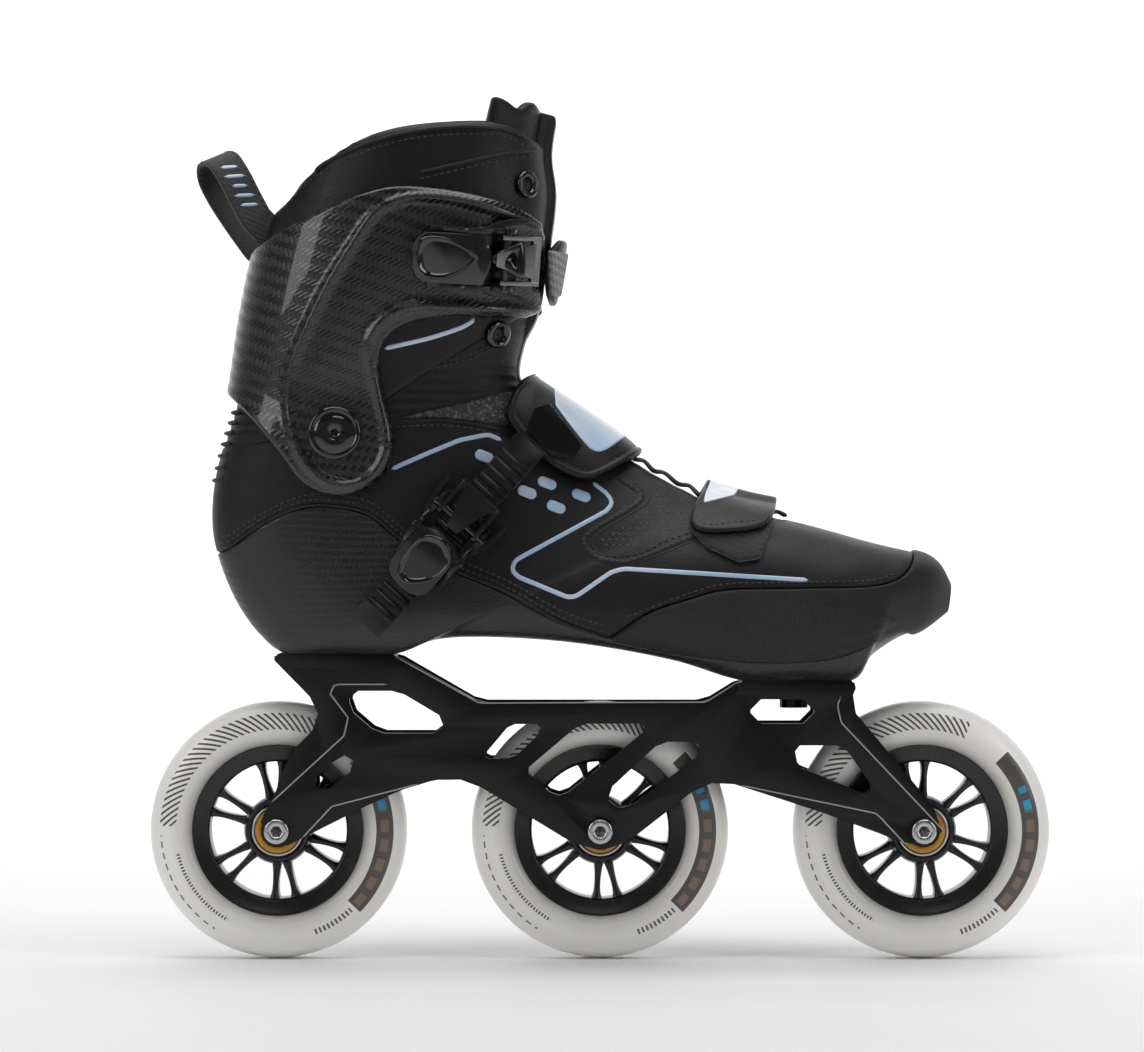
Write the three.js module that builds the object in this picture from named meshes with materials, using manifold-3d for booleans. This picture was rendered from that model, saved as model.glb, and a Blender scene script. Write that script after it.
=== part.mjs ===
// A three-wheel inline skate for the right foot, in millimetres.
// +X points to the toe, +Z up, -Y to the outer (lateral) side of the foot.
// The origin is on the ground, straight under the middle axle, in the plane of the wheels.
import * as THREE from "three";
import Module from "manifold-3d";

const wasm = await Module();
wasm.setup();

// ---------------------------------------------------------------- driving dimensions
const FIT_GAP = 0.3; // between pieces that touch
const WHEEL_R = 55; // 110 mm wheels
const DRAWN_R = 55; // wheel radius that the outlines of frame and boot are drawn for
const BOSS_TOP_Z = 65; // the frame grows between its bosses and its decks when the wheels do
const DECK_LINE_Z = 109.9;
const TYRE_W = 24;
const CORE_R = 36.2; // radius where the tyre meets the wheel core
const CORE_RIM_R = 29.4; // inside of the core's rim
const CORE_W = 16;
const AXLE_PITCH = 137.6;
const AXLE_R = 4;
const BEARING_OD_R = 11; // 608 bearing: 22 mm outside, 8 mm bore, 7 mm wide
const BEARING_W = 7;
const SPACER_L = 10;
const RACE_GAP = 0.5; // between the two races of a bearing
const INNER_RACE_R = 6.1;
const SEAT_GAP = 0.1; // running and seating clearances on round parts
const HUB_R = 13.2;
const SPOKE_PAIRS = 6;
const SPOKE_W = 2.8;

const PLATE_INNER_Y = 14; // frame side plates
const PLATE_T = 3.8;
const PLATE_OUTER_Y = PLATE_INNER_Y + PLATE_T;
const BOSS_R = 7;
const BOSS_FACE_Y = SPACER_L / 2 + BEARING_W + FIT_GAP; // the bosses clamp the inner races
const REAR_DECK_Z = 130.4;
const FRONT_DECK_Z = 119.2;
const DECK_T = 6;
const DECK_HALF_W = 21;
const WEB_T = 3.2;
const MOUNT_REAR_X = -112; // the two mounting bolts stand 195 mm apart
const MOUNT_PITCH = 195;
const MOUNT_SLOT = 10; // travel of the bolt in its slot, front to back
const MOUNT_BOLT_R = 3;
const MOUNT_HEAD_R = 6;
const MOUNT_HEAD_H = 4;
const WASHER_R = 8;
const WASHER_T = 1.5;
const BOLT_BITE = 6.5; // thread length in the shell

const AXLE_HEAD_R = 5.4;
const AXLE_HEAD_T = 2.2;
const SOCKET_R = 2.3;

const WALL_T = 3.2; // shell and upper wall
const SOLE_T = 6.5; // the shell's floor above its underside
const PAD_T = 4.5; // ankle padding
const PAD_DROP = 2; // top of the padding under the top edge of the shaft
const INSOLE_T = 3.5;
const TONGUE_HALF_W = 42;
const THROAT_HALF_W = 12;
const TONGUE_PROUD = 3; // how far the tongue stands out of the throat at the shin
const TONGUE_T = 4;
const CUFF_CLEAR = 1.6;
const CUFF_T = 3.6;
const CUFF_PIVOT = [-111.5, 224];
const CUFF_BOLT_R = 4;
const CUFF_CAP_R = 11.2;
const CUFF_CAP_T = 2.4;
const GUSSET_R = 15; // disc of the gusset round the ankle pivot
const GUSSET_INSET = 0.4;
const FLEX_FRONT = [14, 31.5]; // directions from the pivot, in degrees: foot below, shaft above
const FLEX_BACK = [186, 156];

const STRAP_T = 3.2;
const STRAP_CLEAR = 3.5; // leaves room for the lace under the straps
const LACE_R = 1;
const LACE_CLEAR = 0.5;
const LADDER_W = 15;
const LADDER_T = 2.2;
const LADDER_TOOTH = 1.1;
const LADDER_PITCH = 4.4;
const BUCKLE_W = 22; // inside the buckle's side walls
const BUCKLE_WALL = 2;
const BUCKLE_L = 38;
const BUCKLE_FLOOR = 1.6;
const BUCKLE_PIN_R = 1.6;
const BUCKLE_PIN_H = 11.5; // height of the lever's pin over the base
const BRACKET_PIN_U = 13; // from the lever's pin to the bracket's pin, along the strap
const BRACKET_PIN_H = 8.4;
const BRACKET_BAR = 3.6;
const BRACKET_REACH = 15;
const LEVER_WAIST = 2.6;
const PULL_LOOP_W = 15;
const EYELET_R = 5.4;
const EYELET_HOLE_R = 2.9;
const EYELET_RISE = 0.9; // underside of an eyelet over the boot

// ---------------------------------------------------------------- the last
// Ribs of the boot's outer surface, from the top of the shaft to the toe. A rib is a closed loop in a
// plane across the boot. Each row: front x, z, back x, z, half width, half width of its back or sole
// flat, and where the loop is widest, as a share of the way from front to back.
const RIBS = [
  [-18, 372, -128, 352, 46, 4, 0.5],
  [-22.7, 345.3, -138.9, 320, 46, 4, 0.5],
  [-21, 324.7, -145, 298.2, 46, 4, 0.5],
  [-24.4, 298.2, -150.1, 273.3, 44, 4, 0.5],
  [-29.2, 272.9, -153.5, 249.7, 41, 4, 0.52],
  [-33.9, 252.3, -156.1, 234.7, 38.5, 5, 0.54],
  [-30.9, 244.1, -160.8, 219.7, 38, 6, 0.56],
  [-23.6, 238.1, -164.7, 202.5, 38, 7, 0.58],
  [-12.9, 231.3, -165.5, 185.4, 38, 8, 0.6],
  [-2.1, 224, -162.5, 170.4, 38.5, 9, 0.6],
  [7.7, 217.1, -155.2, 153.2, 39, 12, 0.6],
  [17.2, 211.1, -145, 139.1, 39.5, 16, 0.6],
  [25.7, 206, -132.9, 130.7, 40, 20, 0.6],
  [36.5, 200.4, -111.5, 130.7, 41, 22, 0.6],
  [45, 196.1, -87.1, 130.7, 42.5, 22, 0.6],
  [53.6, 193.5, -68.6, 136.9, 44, 24, 0.6],
  [63.5, 190.9, -42.9, 137.8, 46, 28, 0.6],
  [73.8, 188.8, -8.6, 135.2, 48, 30, 0.6],
  [85.8, 186.2, 30, 128.3, 49, 28, 0.58],
  [98.6, 182.8, 60, 119.5, 48, 24, 0.55],
  [112.4, 178.9, 85.8, 119.5, 45, 22, 0.5],
  [124.4, 175.9, 107.2, 119.5, 40, 20, 0.5],
  [132.1, 174.2, 114.9, 129.6, 35, 18, 0.5],
  [139.4, 172.1, 126.5, 137.3, 28, 14, 0.5],
  [145, 167.8, 137.2, 141.2, 20, 8, 0.5],
  [149.2, 160, 148, 149, 8, 3, 0.5],
];
const SOLE_RIBS = [9, 12]; // between these ribs the back of the loop goes from the heel to the sole
const LAST_INNER_RIB = RIBS.length - 2;
const RIB_STEPS = 3; // points in each quarter of a rib
const RIB_FRONT_FLAT = 0.25; // flat at the front of a rib, as a share of its half width
const FRONT_POWER = 2.5; // how square the quarters of a rib are
const BACK_POWER = 2.3;
const MIN_FLAT = 0.5; // an inner offset never turns the back of a rib inside out

// Half width of a rib at share s of the way from its front to its back.
function ribHalfWidth([, , , , half, flat, widest], s, offset) {
  const h = half + offset;
  const b = Math.max(MIN_FLAT, flat + offset);
  if (s < widest) {
    const a = 1 - s / widest;
    return h * Math.pow(1 - Math.pow(a, FRONT_POWER), 1 / FRONT_POWER);
  }
  const a = Math.min(1, (s - widest) / (1 - widest));
  return b + (h - b) * Math.pow(1 - Math.pow(a, BACK_POWER), 1 / BACK_POWER);
}

// Front and back points of a rib, moved outwards by offset, with the sole raised by rise.
function ribEnds(rib, offset, rise) {
  const [fx, fz, bx, bz] = rib;
  const length = Math.hypot(bx - fx, bz - fz);
  const nx = ((bx - fx) / length) * offset;
  const nz = ((bz - fz) / length) * offset;
  const [first, last] = SOLE_RIBS;
  const lift = rise * THREE.MathUtils.clamp((RIBS.indexOf(rib) - first) / (last - first), 0, 1);
  return [fx - nx, fz - nz, bx + nx, bz + nz + lift];
}

// One rib's loop of points.
function ribLoop(rib, offset, rise) {
  const [fx, fz, bx, bz] = ribEnds(rib, offset, rise);
  const widest = rib[6];
  const shares = [];
  for (let i = 1; i <= RIB_STEPS; i++) shares.push(widest * (1 - Math.cos((i / RIB_STEPS) * (Math.PI / 2))));
  for (let i = 1; i <= RIB_STEPS; i++) {
    shares.push(widest + (1 - widest) * Math.sin((i / RIB_STEPS) * (Math.PI / 2)));
  }
  const at = (s, y) => new THREE.Vector3(fx + (bx - fx) * s, y, fz + (bz - fz) * s);
  const edge = (rib[4] + offset) * RIB_FRONT_FLAT;
  const right = shares.map((s) => at(s, -ribHalfWidth(rib, s, offset)));
  const left = shares.map((s) => at(s, ribHalfWidth(rib, s, offset))).reverse();
  return [at(0, edge), at(0, -edge), ...right, ...left];
}

// ---------------------------------------------------------------- solids
// A BufferGeometry as a manifold-3d solid: vertices merged by position.
function solidOf(geometry) {
  const source = geometry.index ? geometry.toNonIndexed() : geometry;
  const pos = source.getAttribute("position");
  const keys = new Map();
  const verts = [];
  const tris = [];
  for (let i = 0; i < pos.count; i++) {
    const p = [pos.getX(i), pos.getY(i), pos.getZ(i)];
    const key = p.map((v) => Math.round(v * 1e4)).join();
    if (!keys.has(key)) {
      keys.set(key, verts.length / 3);
      verts.push(...p);
    }
    tris.push(keys.get(key));
  }
  const faces = [];
  for (let i = 0; i < tris.length; i += 3) {
    const [a, b, c] = tris.slice(i, i + 3);
    if (a !== b && b !== c && a !== c) faces.push(a, b, c);
  }
  const mesh = new wasm.Mesh({
    numProp: 3,
    vertProperties: new Float32Array(verts),
    triVerts: new Uint32Array(faces),
  });
  return new wasm.Manifold(mesh);
}

// A manifold-3d solid as a BufferGeometry.
function geometryOf(solid) {
  const mesh = solid.getMesh();
  const points = new Float32Array(mesh.numVert * 3);
  for (let i = 0; i < mesh.numVert; i++) {
    for (let k = 0; k < 3; k++) points[i * 3 + k] = mesh.vertProperties[i * mesh.numProp + k];
  }
  const geometry = new THREE.BufferGeometry();
  geometry.setAttribute("position", new THREE.BufferAttribute(points, 3));
  geometry.setIndex(new THREE.BufferAttribute(mesh.triVerts, 1));
  geometry.computeVertexNormals();
  return geometry;
}

// The biggest separate piece of a solid, for cuts that leave crumbs.
function mainBody(solid) {
  return solid.decompose().sort((a, b) => b.volume() - a.volume())[0];
}

const union = (...solids) => solids.reduce((a, b) => a.add(b));

// Loops of equal length skinned into one closed solid, with a fan on each end.
function skinned(loops) {
  const n = loops[0].length;
  const points = [];
  loops.forEach((loop) => loop.forEach((p) => points.push(p.x, p.y, p.z)));
  const centre = (loop) => loop.reduce((a, p) => a.clone().add(p)).divideScalar(n);
  const faces = [];
  for (let r = 0; r + 1 < loops.length; r++) {
    for (let i = 0; i < n; i++) {
      const a = r * n + i;
      const b = r * n + ((i + 1) % n);
      faces.push(a, a + n, b, b, a + n, b + n);
    }
  }
  const start = points.length / 3;
  for (const [k, loop] of [loops[0], loops[loops.length - 1]].entries()) {
    const c = centre(loop);
    points.push(c.x, c.y, c.z);
    const base = k * (loops.length - 1) * n;
    for (let i = 0; i < n; i++) {
      const pair = [base + i, base + ((i + 1) % n)];
      if (k) pair.reverse();
      faces.push(start + k, ...pair);
    }
  }
  const geometry = new THREE.BufferGeometry();
  geometry.setAttribute("position", new THREE.Float32BufferAttribute(points, 3));
  geometry.setIndex(faces);
  const solid = solidOf(geometry);
  if (solid.volume() > 0) return solid;
  geometry.setIndex(faces.reverse());
  return solidOf(geometry);
}

// The boot's body at an offset from its outer surface.
function bootBody(offset, rise = 0) {
  const last = offset < 0 ? LAST_INNER_RIB : RIBS.length;
  return skinned(RIBS.slice(0, last).map((rib) => ribLoop(rib, offset, rise)));
}

// Wall between two offsets of the boot's surface.
const bootWall = (outer, inner, rise = 0) => bootBody(outer).subtract(bootBody(inner, rise));

// A Shape through [x, z, corner radius] points.
function roundedShape(points) {
  const shape = new THREE.Shape();
  const n = points.length;
  points.forEach(([x, z, r = 0], i) => {
    const [px, pz] = points[(i + n - 1) % n];
    const [qx, qz] = points[(i + 1) % n];
    const back = Math.hypot(px - x, pz - z);
    const ahead = Math.hypot(qx - x, qz - z);
    const cut = Math.min(r, back / 2, ahead / 2);
    const from = [x + ((px - x) / back) * cut, z + ((pz - z) / back) * cut];
    const to = [x + ((qx - x) / ahead) * cut, z + ((qz - z) / ahead) * cut];
    if (i) shape.lineTo(...from);
    else shape.moveTo(...from);
    if (cut > 0) shape.quadraticCurveTo(x, z, ...to);
  });
  shape.closePath();
  return shape;
}

// A side-view outline carried across the skate between two values of y.
function prism(outline, y0 = -120, y1 = 120, curveSegments = 1) {
  const shape = outline instanceof THREE.Shape ? outline : roundedShape(outline);
  const geometry = new THREE.ExtrudeGeometry(shape, { depth: y1 - y0, bevelEnabled: false, curveSegments });
  geometry.rotateX(Math.PI / 2);
  geometry.translate(0, y1, 0);
  return solidOf(geometry);
}

function box(x0, x1, y0, y1, z0, z1) {
  const geometry = new THREE.BoxGeometry(x1 - x0, y1 - y0, z1 - z0);
  geometry.translate((x0 + x1) / 2, (y0 + y1) / 2, (z0 + z1) / 2);
  return solidOf(geometry);
}

// A turned solid about an axis along Y at (x, z): profile rows are [radius, y]. A flat faces the ground.
function turned(profile, x, z, segments = 16) {
  const points = profile.map(([r, y]) => new THREE.Vector2(r, y));
  const geometry = new THREE.LatheGeometry(points, segments, Math.PI / segments);
  geometry.translate(x, 0, z);
  const solid = solidOf(geometry);
  if (solid.volume() > 0) return solid;
  const flipped = new THREE.LatheGeometry(points.reverse(), segments, Math.PI / segments);
  flipped.translate(x, 0, z);
  return solidOf(flipped);
}

const rod = (r, y0, y1, x, z, segments = 16) =>
  turned([[0, y0], [r, y0], [r, y1], [0, y1]], x, z, segments);
const ring = (r0, r1, y0, y1, x, z, segments = 16) =>
  turned([[r0, y0], [r1, y0], [r1, y1], [r0, y1], [r0, y0]], x, z, segments);

// Where (x, z) in the side view lies on the boot: the half width there at an offset.
function halfWidthAt(x, z, offset = 0) {
  const side = (rib) => (rib[2] - rib[0]) * (z - rib[1]) - (rib[3] - rib[1]) * (x - rib[0]);
  for (let i = 0; i + 1 < RIBS.length; i++) {
    const a = side(RIBS[i]);
    const b = side(RIBS[i + 1]);
    if (a * b > 0) continue;
    const t = a / (a - b);
    const rib = RIBS[i].map((v, k) => v + (RIBS[i + 1][k] - v) * t);
    const length2 = (rib[2] - rib[0]) ** 2 + (rib[3] - rib[1]) ** 2;
    const s = ((x - rib[0]) * (rib[2] - rib[0]) + (z - rib[1]) * (rib[3] - rib[1])) / length2;
    if (s > 0 && s < 1) return ribHalfWidth(rib, s, offset);
  }
  throw new Error("no surface at " + x + ", " + z);
}

// A placing matrix on the boot's side: local X along (dx, dz) in the side view, local Z out of the surface.
function sideFrame(x, z, dx, dz, offset, span, lateral = true) {
  const sign = lateral ? -1 : 1;
  const slope = (ux, uz) =>
    (halfWidthAt(x + ux * span, z + uz * span, offset) - halfWidthAt(x - ux * span, z - uz * span, offset)) /
    (2 * span);
  const along = new THREE.Vector3(dx, sign * slope(dx, dz), dz).normalize();
  const across = new THREE.Vector3(-dz, sign * slope(-dz, dx), dx).normalize();
  const out = new THREE.Vector3().crossVectors(along, across).normalize();
  if (out.y * sign < 0) out.negate();
  across.crossVectors(out, along);
  const matrix = new THREE.Matrix4().makeBasis(along, across, out);
  matrix.setPosition(x, sign * halfWidthAt(x, z, offset), z);
  return matrix;
}

// ---------------------------------------------------------------- materials
const material = (color, roughness, metalness = 0) =>
  new THREE.MeshStandardMaterial({ color, roughness, metalness });
const BLACK_ALLOY = material(0x141415, 0.5, 0.6);
const STEEL = material(0xb8babd, 0.3, 1);
const CARBON = material(0x101012, 0.15);
const MICROFIBRE = material(0x1b1b1d, 0.6);
const RUBBER = material(0x2a2a2c, 0.7);
const PADDING = material(0x202022, 0.85);
const URETHANE = material(0xe9e8e4, 0.35);
const CORE_PLASTIC = material(0x0c0b0b, 0.35);
const BUCKLE_PLASTIC = material(0x101010, 0.35);
const GREY_WEBBING = material(0x777779, 0.9);
const SEAL_YELLOW = material(0xe0a52c, 0.5);
const STRAP_FABRIC = material(0x18181a, 0.7);

const skate = new THREE.Group();
// Adds one named piece of a wheel or its axle.
function wheelPiece(name, solid, mat) {
  const mesh = new THREE.Mesh(geometryOf(mainBody(solid)), mat);
  mesh.name = name;
  skate.add(mesh);
}

// Height of a drawn point with the wheels in use: the bosses rise with the axles, and the boot twice as far.
function raised(z) {
  const share = THREE.MathUtils.clamp((z - BOSS_TOP_Z) / (DECK_LINE_Z - BOSS_TOP_Z), 0, 1);
  return z + (WHEEL_R - DRAWN_R) * (1 + share);
}

// Adds one named piece of the frame or boot, placed by a matrix where it isn't modelled in place.
function piece(name, solid, mat, matrix = new THREE.Matrix4()) {
  const geometry = geometryOf(mainBody(solid)).applyMatrix4(matrix);
  const position = geometry.getAttribute("position");
  for (let i = 0; i < position.count; i++) position.setZ(i, raised(position.getZ(i)));
  const mesh = new THREE.Mesh(geometry, mat);
  mesh.name = name;
  skate.add(mesh);
}

// ---------------------------------------------------------------- wheels
const AXLES = [
  ["rear", -AXLE_PITCH],
  ["middle", 0],
  ["front", AXLE_PITCH],
];

const TYRE_SIDES = 28;
// Half of the tyre's section, from the core outwards: radius and half width.
const TYRE_PROFILE = [
  [CORE_R, 8.6],
  [CORE_R + 6, TYRE_W / 2],
  [WHEEL_R - 6, TYRE_W / 2 - 1],
  [WHEEL_R - 1.8, 8],
  [WHEEL_R, 4.2],
];

// The flats of the tyre stand round the true circle, so that its lowest flat is on the ground.
function tyre(x) {
  const grow = 1 / Math.cos(Math.PI / TYRE_SIDES);
  const right = TYRE_PROFILE.map(([r, y]) => [r * grow, -y]);
  const left = TYRE_PROFILE.map(([r, y]) => [r * grow, y]).reverse();
  return turned([...right, ...left, right[0]], x, WHEEL_R, TYRE_SIDES);
}

function core(x) {
  const seat = BEARING_OD_R + SEAT_GAP;
  const outer = CORE_R - FIT_GAP;
  const rim = ring(CORE_RIM_R, outer, -CORE_W / 2, CORE_W / 2, x, WHEEL_R, TYRE_SIDES);
  const half = SPACER_L / 2 + BEARING_W;
  const stop = SPACER_L / 2 - SEAT_GAP;
  const hub = turned(
    [[seat, -half], [HUB_R, -half], [HUB_R, half], [seat, half], [seat, stop], [BEARING_OD_R - 1.6, stop],
      [BEARING_OD_R - 1.6, -stop], [seat, -stop], [seat, -half]],
    x, WHEEL_R,
  );
  const spokes = [];
  const reach = (HUB_R + CORE_RIM_R) / 2;
  const length = CORE_RIM_R - HUB_R + 2;
  for (let i = 0; i < SPOKE_PAIRS; i++) {
    for (const lean of [-1, 1]) {
      const spoke = new THREE.BoxGeometry(length, 10, SPOKE_W);
      spoke.rotateY(lean * THREE.MathUtils.degToRad(8));
      spoke.translate(reach, 0, lean * -3.2);
      spoke.rotateY(-THREE.MathUtils.degToRad(-84 + (360 / SPOKE_PAIRS) * i));
      spoke.translate(x, 0, WHEEL_R);
      spokes.push(solidOf(spoke));
    }
  }
  return union(rim, hub, ...spokes);
}

function addWheel(name, x) {
  wheelPiece(name + "_tyre", tyre(x), URETHANE);
  wheelPiece(name + "_wheel_core", core(x), CORE_PLASTIC);
  for (const [side, sign] of [["lateral", -1], ["medial", 1]]) {
    const near = sign * (SPACER_L / 2);
    const far = sign * (SPACER_L / 2 + BEARING_W);
    const race = ring(INNER_RACE_R + RACE_GAP, BEARING_OD_R, near, far, x, WHEEL_R);
    wheelPiece(`${name}_bearing_outer_${side}`, race, SEAL_YELLOW);
  }
  const half = SPACER_L / 2 + BEARING_W;
  wheelPiece(name + "_bearing_sleeve", ring(AXLE_R + SEAT_GAP, INNER_RACE_R, -half, half, x, WHEEL_R), STEEL);
  const outerFace = PLATE_OUTER_Y + FIT_GAP;
  const bolt = union(
    rod(AXLE_HEAD_R, -outerFace - AXLE_HEAD_T, -outerFace, x, WHEEL_R),
    rod(AXLE_R, -outerFace - 0.1, PLATE_OUTER_Y, x, WHEEL_R),
  );
  const socket = rod(SOCKET_R, -outerFace - AXLE_HEAD_T - 1, -outerFace + 2, x, WHEEL_R, 6);
  wheelPiece(name + "_axle_bolt", bolt.subtract(socket), STEEL);
}

// ---------------------------------------------------------------- frame
const PLATE_OUTLINE = [
  [-139.4, 128.6, 2], [-137.7, REAR_DECK_Z, 2], [-87.1, REAR_DECK_Z, 3], [-51.5, 109.9, 3], [44.9, 109.9, 3],
  [60, FRONT_DECK_Z, 3], [107.2, FRONT_DECK_Z, 2], [109.2, 117.2, 2], [105.8, 108.8, 6], [145.4, 61.2, 6],
  [145.2, 49, 8], [131.5, 48.6, 7], [120.1, 53.7, 2], [85.8, 66.2, 8], [52.3, 76.6, 8], [42.5, 74.6, 6],
  [7.4, 47.2, 6], [-6.8, 47.2, 6], [-54.5, 76.2, 10], [-64.3, 77.9, 6], [-78.1, 75.2, 6], [-93.6, 68.8, 6],
  [-128, 51.5, 5], [-137.6, 46.8, 7], [-146.8, 54, 7], [-141.1, 66.2, 5], [-137.3, 72.6, 5],
  [-133.4, 86.8, 6],
  [-119.4, 101, 8], [-120.6, 109.4, 6],
];
const WINDOWS = [
  [[-107.2, 107.5, 3], [-106, 114.8, 3], [-85.8, 114.8, 3], [-66, 103, 3], [-67.6, 96.8, 3],
    [-94.8, 96.8, 3]],
  [[-123.5, 75.6, 3.5], [-118, 71.2, 3.5], [-104, 82, 3.5], [-105.6, 88.2, 3.5], [-112, 86.4, 3.5]],
  [[-49.3, 87.6, 2], [-38.2, 100.7, 2], [-25.2, 100.7, 2], [-25.3, 97.2, 2], [-36.9, 86.1, 2],
    [-48, 85.8, 2]],
  [[-31.9, 81, 2], [-8.6, 100.9, 3], [18.4, 100.9, 3], [19.4, 98, 2], [-15, 70.6, 2], [-19.8, 70.4, 2]],
  [[3, 72.2, 3], [4.2, 65.4, 3], [12.4, 65.2, 3], [42.9, 88, 3], [42.3, 93.2, 3], [25.7, 93.2, 3]],
  [[63.9, 111.2, 4.5], [90.9, 111.2, 4.5], [90.9, 100.9, 4.5], [63.9, 100.9, 4.5]],
  [[82.4, 91.6, 2.5], [103.5, 91.6, 3], [115.8, 74, 3], [113.6, 70.6, 3], [84.1, 82.6, 2]],
];

function frame() {
  const plates = [-PLATE_OUTER_Y, PLATE_INNER_Y].map((y) => prism(PLATE_OUTLINE, y, y + PLATE_T));
  const rearDeck = prism(
    [[-137.4, REAR_DECK_Z], [-87.6, REAR_DECK_Z], [-85, REAR_DECK_Z - DECK_T], [-131, REAR_DECK_Z - DECK_T]],
    -DECK_HALF_W, DECK_HALF_W,
  );
  const frontDeck = prism(
    [[60.4, FRONT_DECK_Z], [107, FRONT_DECK_Z], [107, FRONT_DECK_Z - DECK_T], [57, FRONT_DECK_Z - DECK_T]],
    -DECK_HALF_W, DECK_HALF_W,
  );
  const across = (outline) => prism(outline, -PLATE_INNER_Y - 1, PLATE_INNER_Y + 1);
  const webs = [
    across([[-88, REAR_DECK_Z - 1], [-54, 110.4], [-56, 110.4 - WEB_T], [-90, REAR_DECK_Z - 1 - WEB_T]]),
    across([[-74, 92, 1], [-74 + WEB_T, 92, 1], [-66 + WEB_T, 79.5, 1], [-66, 79.5, 1]]),
    across([[48, 110.6], [61, 118.4], [61, 118.4 - WEB_T - 1], [50, 110.6 - WEB_T]]),
    across([[66, 96, 1], [66 + WEB_T, 96, 1], [70 + WEB_T, 74, 1], [70, 74, 1]]),
  ];
  let body = union(...plates, rearDeck, frontDeck, ...webs);
  for (const [, x] of AXLES) {
    for (const sign of [-1, 1]) {
      const boss = rod(BOSS_R, sign * BOSS_FACE_Y, sign * (PLATE_INNER_Y + 1), x, DRAWN_R);
      body = body.add(boss);
    }
  }
  for (const outline of WINDOWS) body = body.subtract(prism(outline));
  for (const [, x] of AXLES) body = body.subtract(rod(AXLE_R + SEAT_GAP, -60, 60, x, DRAWN_R));
  for (const x of [MOUNT_REAR_X, MOUNT_REAR_X + MOUNT_PITCH]) {
    const r = MOUNT_BOLT_R + 0.5;
    const slot = new THREE.Shape();
    slot.absarc(x - MOUNT_SLOT / 2, 0, r, Math.PI / 2, (3 * Math.PI) / 2);
    slot.absarc(x + MOUNT_SLOT / 2, 0, r, -Math.PI / 2, Math.PI / 2);
    const cut = new THREE.ExtrudeGeometry(slot, { depth: 40, bevelEnabled: false, curveSegments: 5 });
    cut.translate(0, 0, 100);
    body = body.subtract(solidOf(cut));
  }
  return body;
}

// A bolt standing along +Z with its head below the deck, and its washer.
function addMountBolt(name, x, deckZ) {
  const turnedUp = (profile) => {
    const geometry = new THREE.LatheGeometry(profile.map(([r, z]) => new THREE.Vector2(r, z)), 12);
    geometry.rotateX(Math.PI / 2);
    geometry.translate(x, 0, 0);
    return solidOf(geometry);
  };
  const under = deckZ - DECK_T - FIT_GAP;
  const head = under - WASHER_T - FIT_GAP;
  const bolt = turnedUp([
    [0, head - 2.2], [SOCKET_R, head - 2.2], [SOCKET_R, head - MOUNT_HEAD_H],
    [MOUNT_HEAD_R, head - MOUNT_HEAD_H],
    [MOUNT_HEAD_R, head], [MOUNT_BOLT_R, head], [MOUNT_BOLT_R, deckZ + BOLT_BITE], [0, deckZ + BOLT_BITE],
  ]);
  piece(name + "_mount_bolt", bolt, STEEL);
  const r = MOUNT_BOLT_R + SEAT_GAP * 2;
  const washer = turnedUp([
    [r, under - WASHER_T], [WASHER_R, under - WASHER_T], [WASHER_R, under], [r, under], [r, under - WASHER_T],
  ]);
  piece(name + "_mount_washer", washer, STEEL);
}

// ---------------------------------------------------------------- boot
const FAR = 200;
const [PIVOT_X, PIVOT_Z] = CUFF_PIVOT;
const fromPivot = (degrees, reach) => {
  const a = THREE.MathUtils.degToRad(degrees);
  return [PIVOT_X + Math.cos(a) * reach, PIVOT_Z + Math.sin(a) * reach];
};
// Side-view wedge between two directions from the pivot.
const wedge = (low, high) => prism([[PIVOT_X, PIVOT_Z], fromPivot(low, FAR), fromPivot(high, FAR)]);

// Seam between the carbon shell and the upper, from the heel to the toe guard.
const SHELL_SEAM = [
  [-190, 173], [-164.2, 173.4], [-156.5, 176.4], [-142.8, 185.4], [-128.7, 191.8], [-116.4, 193.5],
  [-98.2, 190.1],
  [-83.2, 178.5], [-68.6, 169.5], [-55.5, 163.6], [-39.5, 156.7], [-17.2, 144.6], [3.6, 137],
];
// Seam between the toe guard and the upper, and the guard's lower edge over the shell.
const TOE_SEAM = [
  [3.6, 137], [20, 148.1], [37.7, 154.2], [52.7, 158], [111.5, 159.2], [124.4, 161.8], [130.8, 166.9],
  [131.4, 190],
];
const TOE_LOW = [[3.6, 137], [32.6, 131], [68.6, 127.4], [98.6, 129.4], [128, 140], [140, 130]];
const TOP_EDGE = [
  [-180, 300], [-138.9, 320], [-125.7, 332.5], [-107.2, 345.3], [-86.6, 352.2], [-59.2, 354.9],
  [-39.5, 354.3],
  [-27, 349.2], [-10, 335],
];
const shifted = (points, dx, dz) => points.map(([x, z]) => [x + dx, z + dz]);

const shellRegion = () => prism([...SHELL_SEAM, ...TOE_LOW.slice(1), [140, 90], [-190, 90]]);
const toeRegion = () =>
  prism([[TOE_SEAM[0][0] + 1.5, TOE_SEAM[0][1] + FIT_GAP], ...shifted(TOE_SEAM.slice(1), FIT_GAP, -FIT_GAP),
    [200, 190], [200, 130], ...shifted(TOE_LOW.slice(1), 0, FIT_GAP).reverse()]);
const footRegion = () =>
  prism([...shifted(SHELL_SEAM, 0, FIT_GAP), ...shifted(TOE_SEAM.slice(1), 0, FIT_GAP),
    [131.4, 400], [-190, 400]]);
const belowTop = (drop) => prism([...shifted(TOP_EDGE, 0, -drop), [-10, 150], [-180, 150]]);

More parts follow.
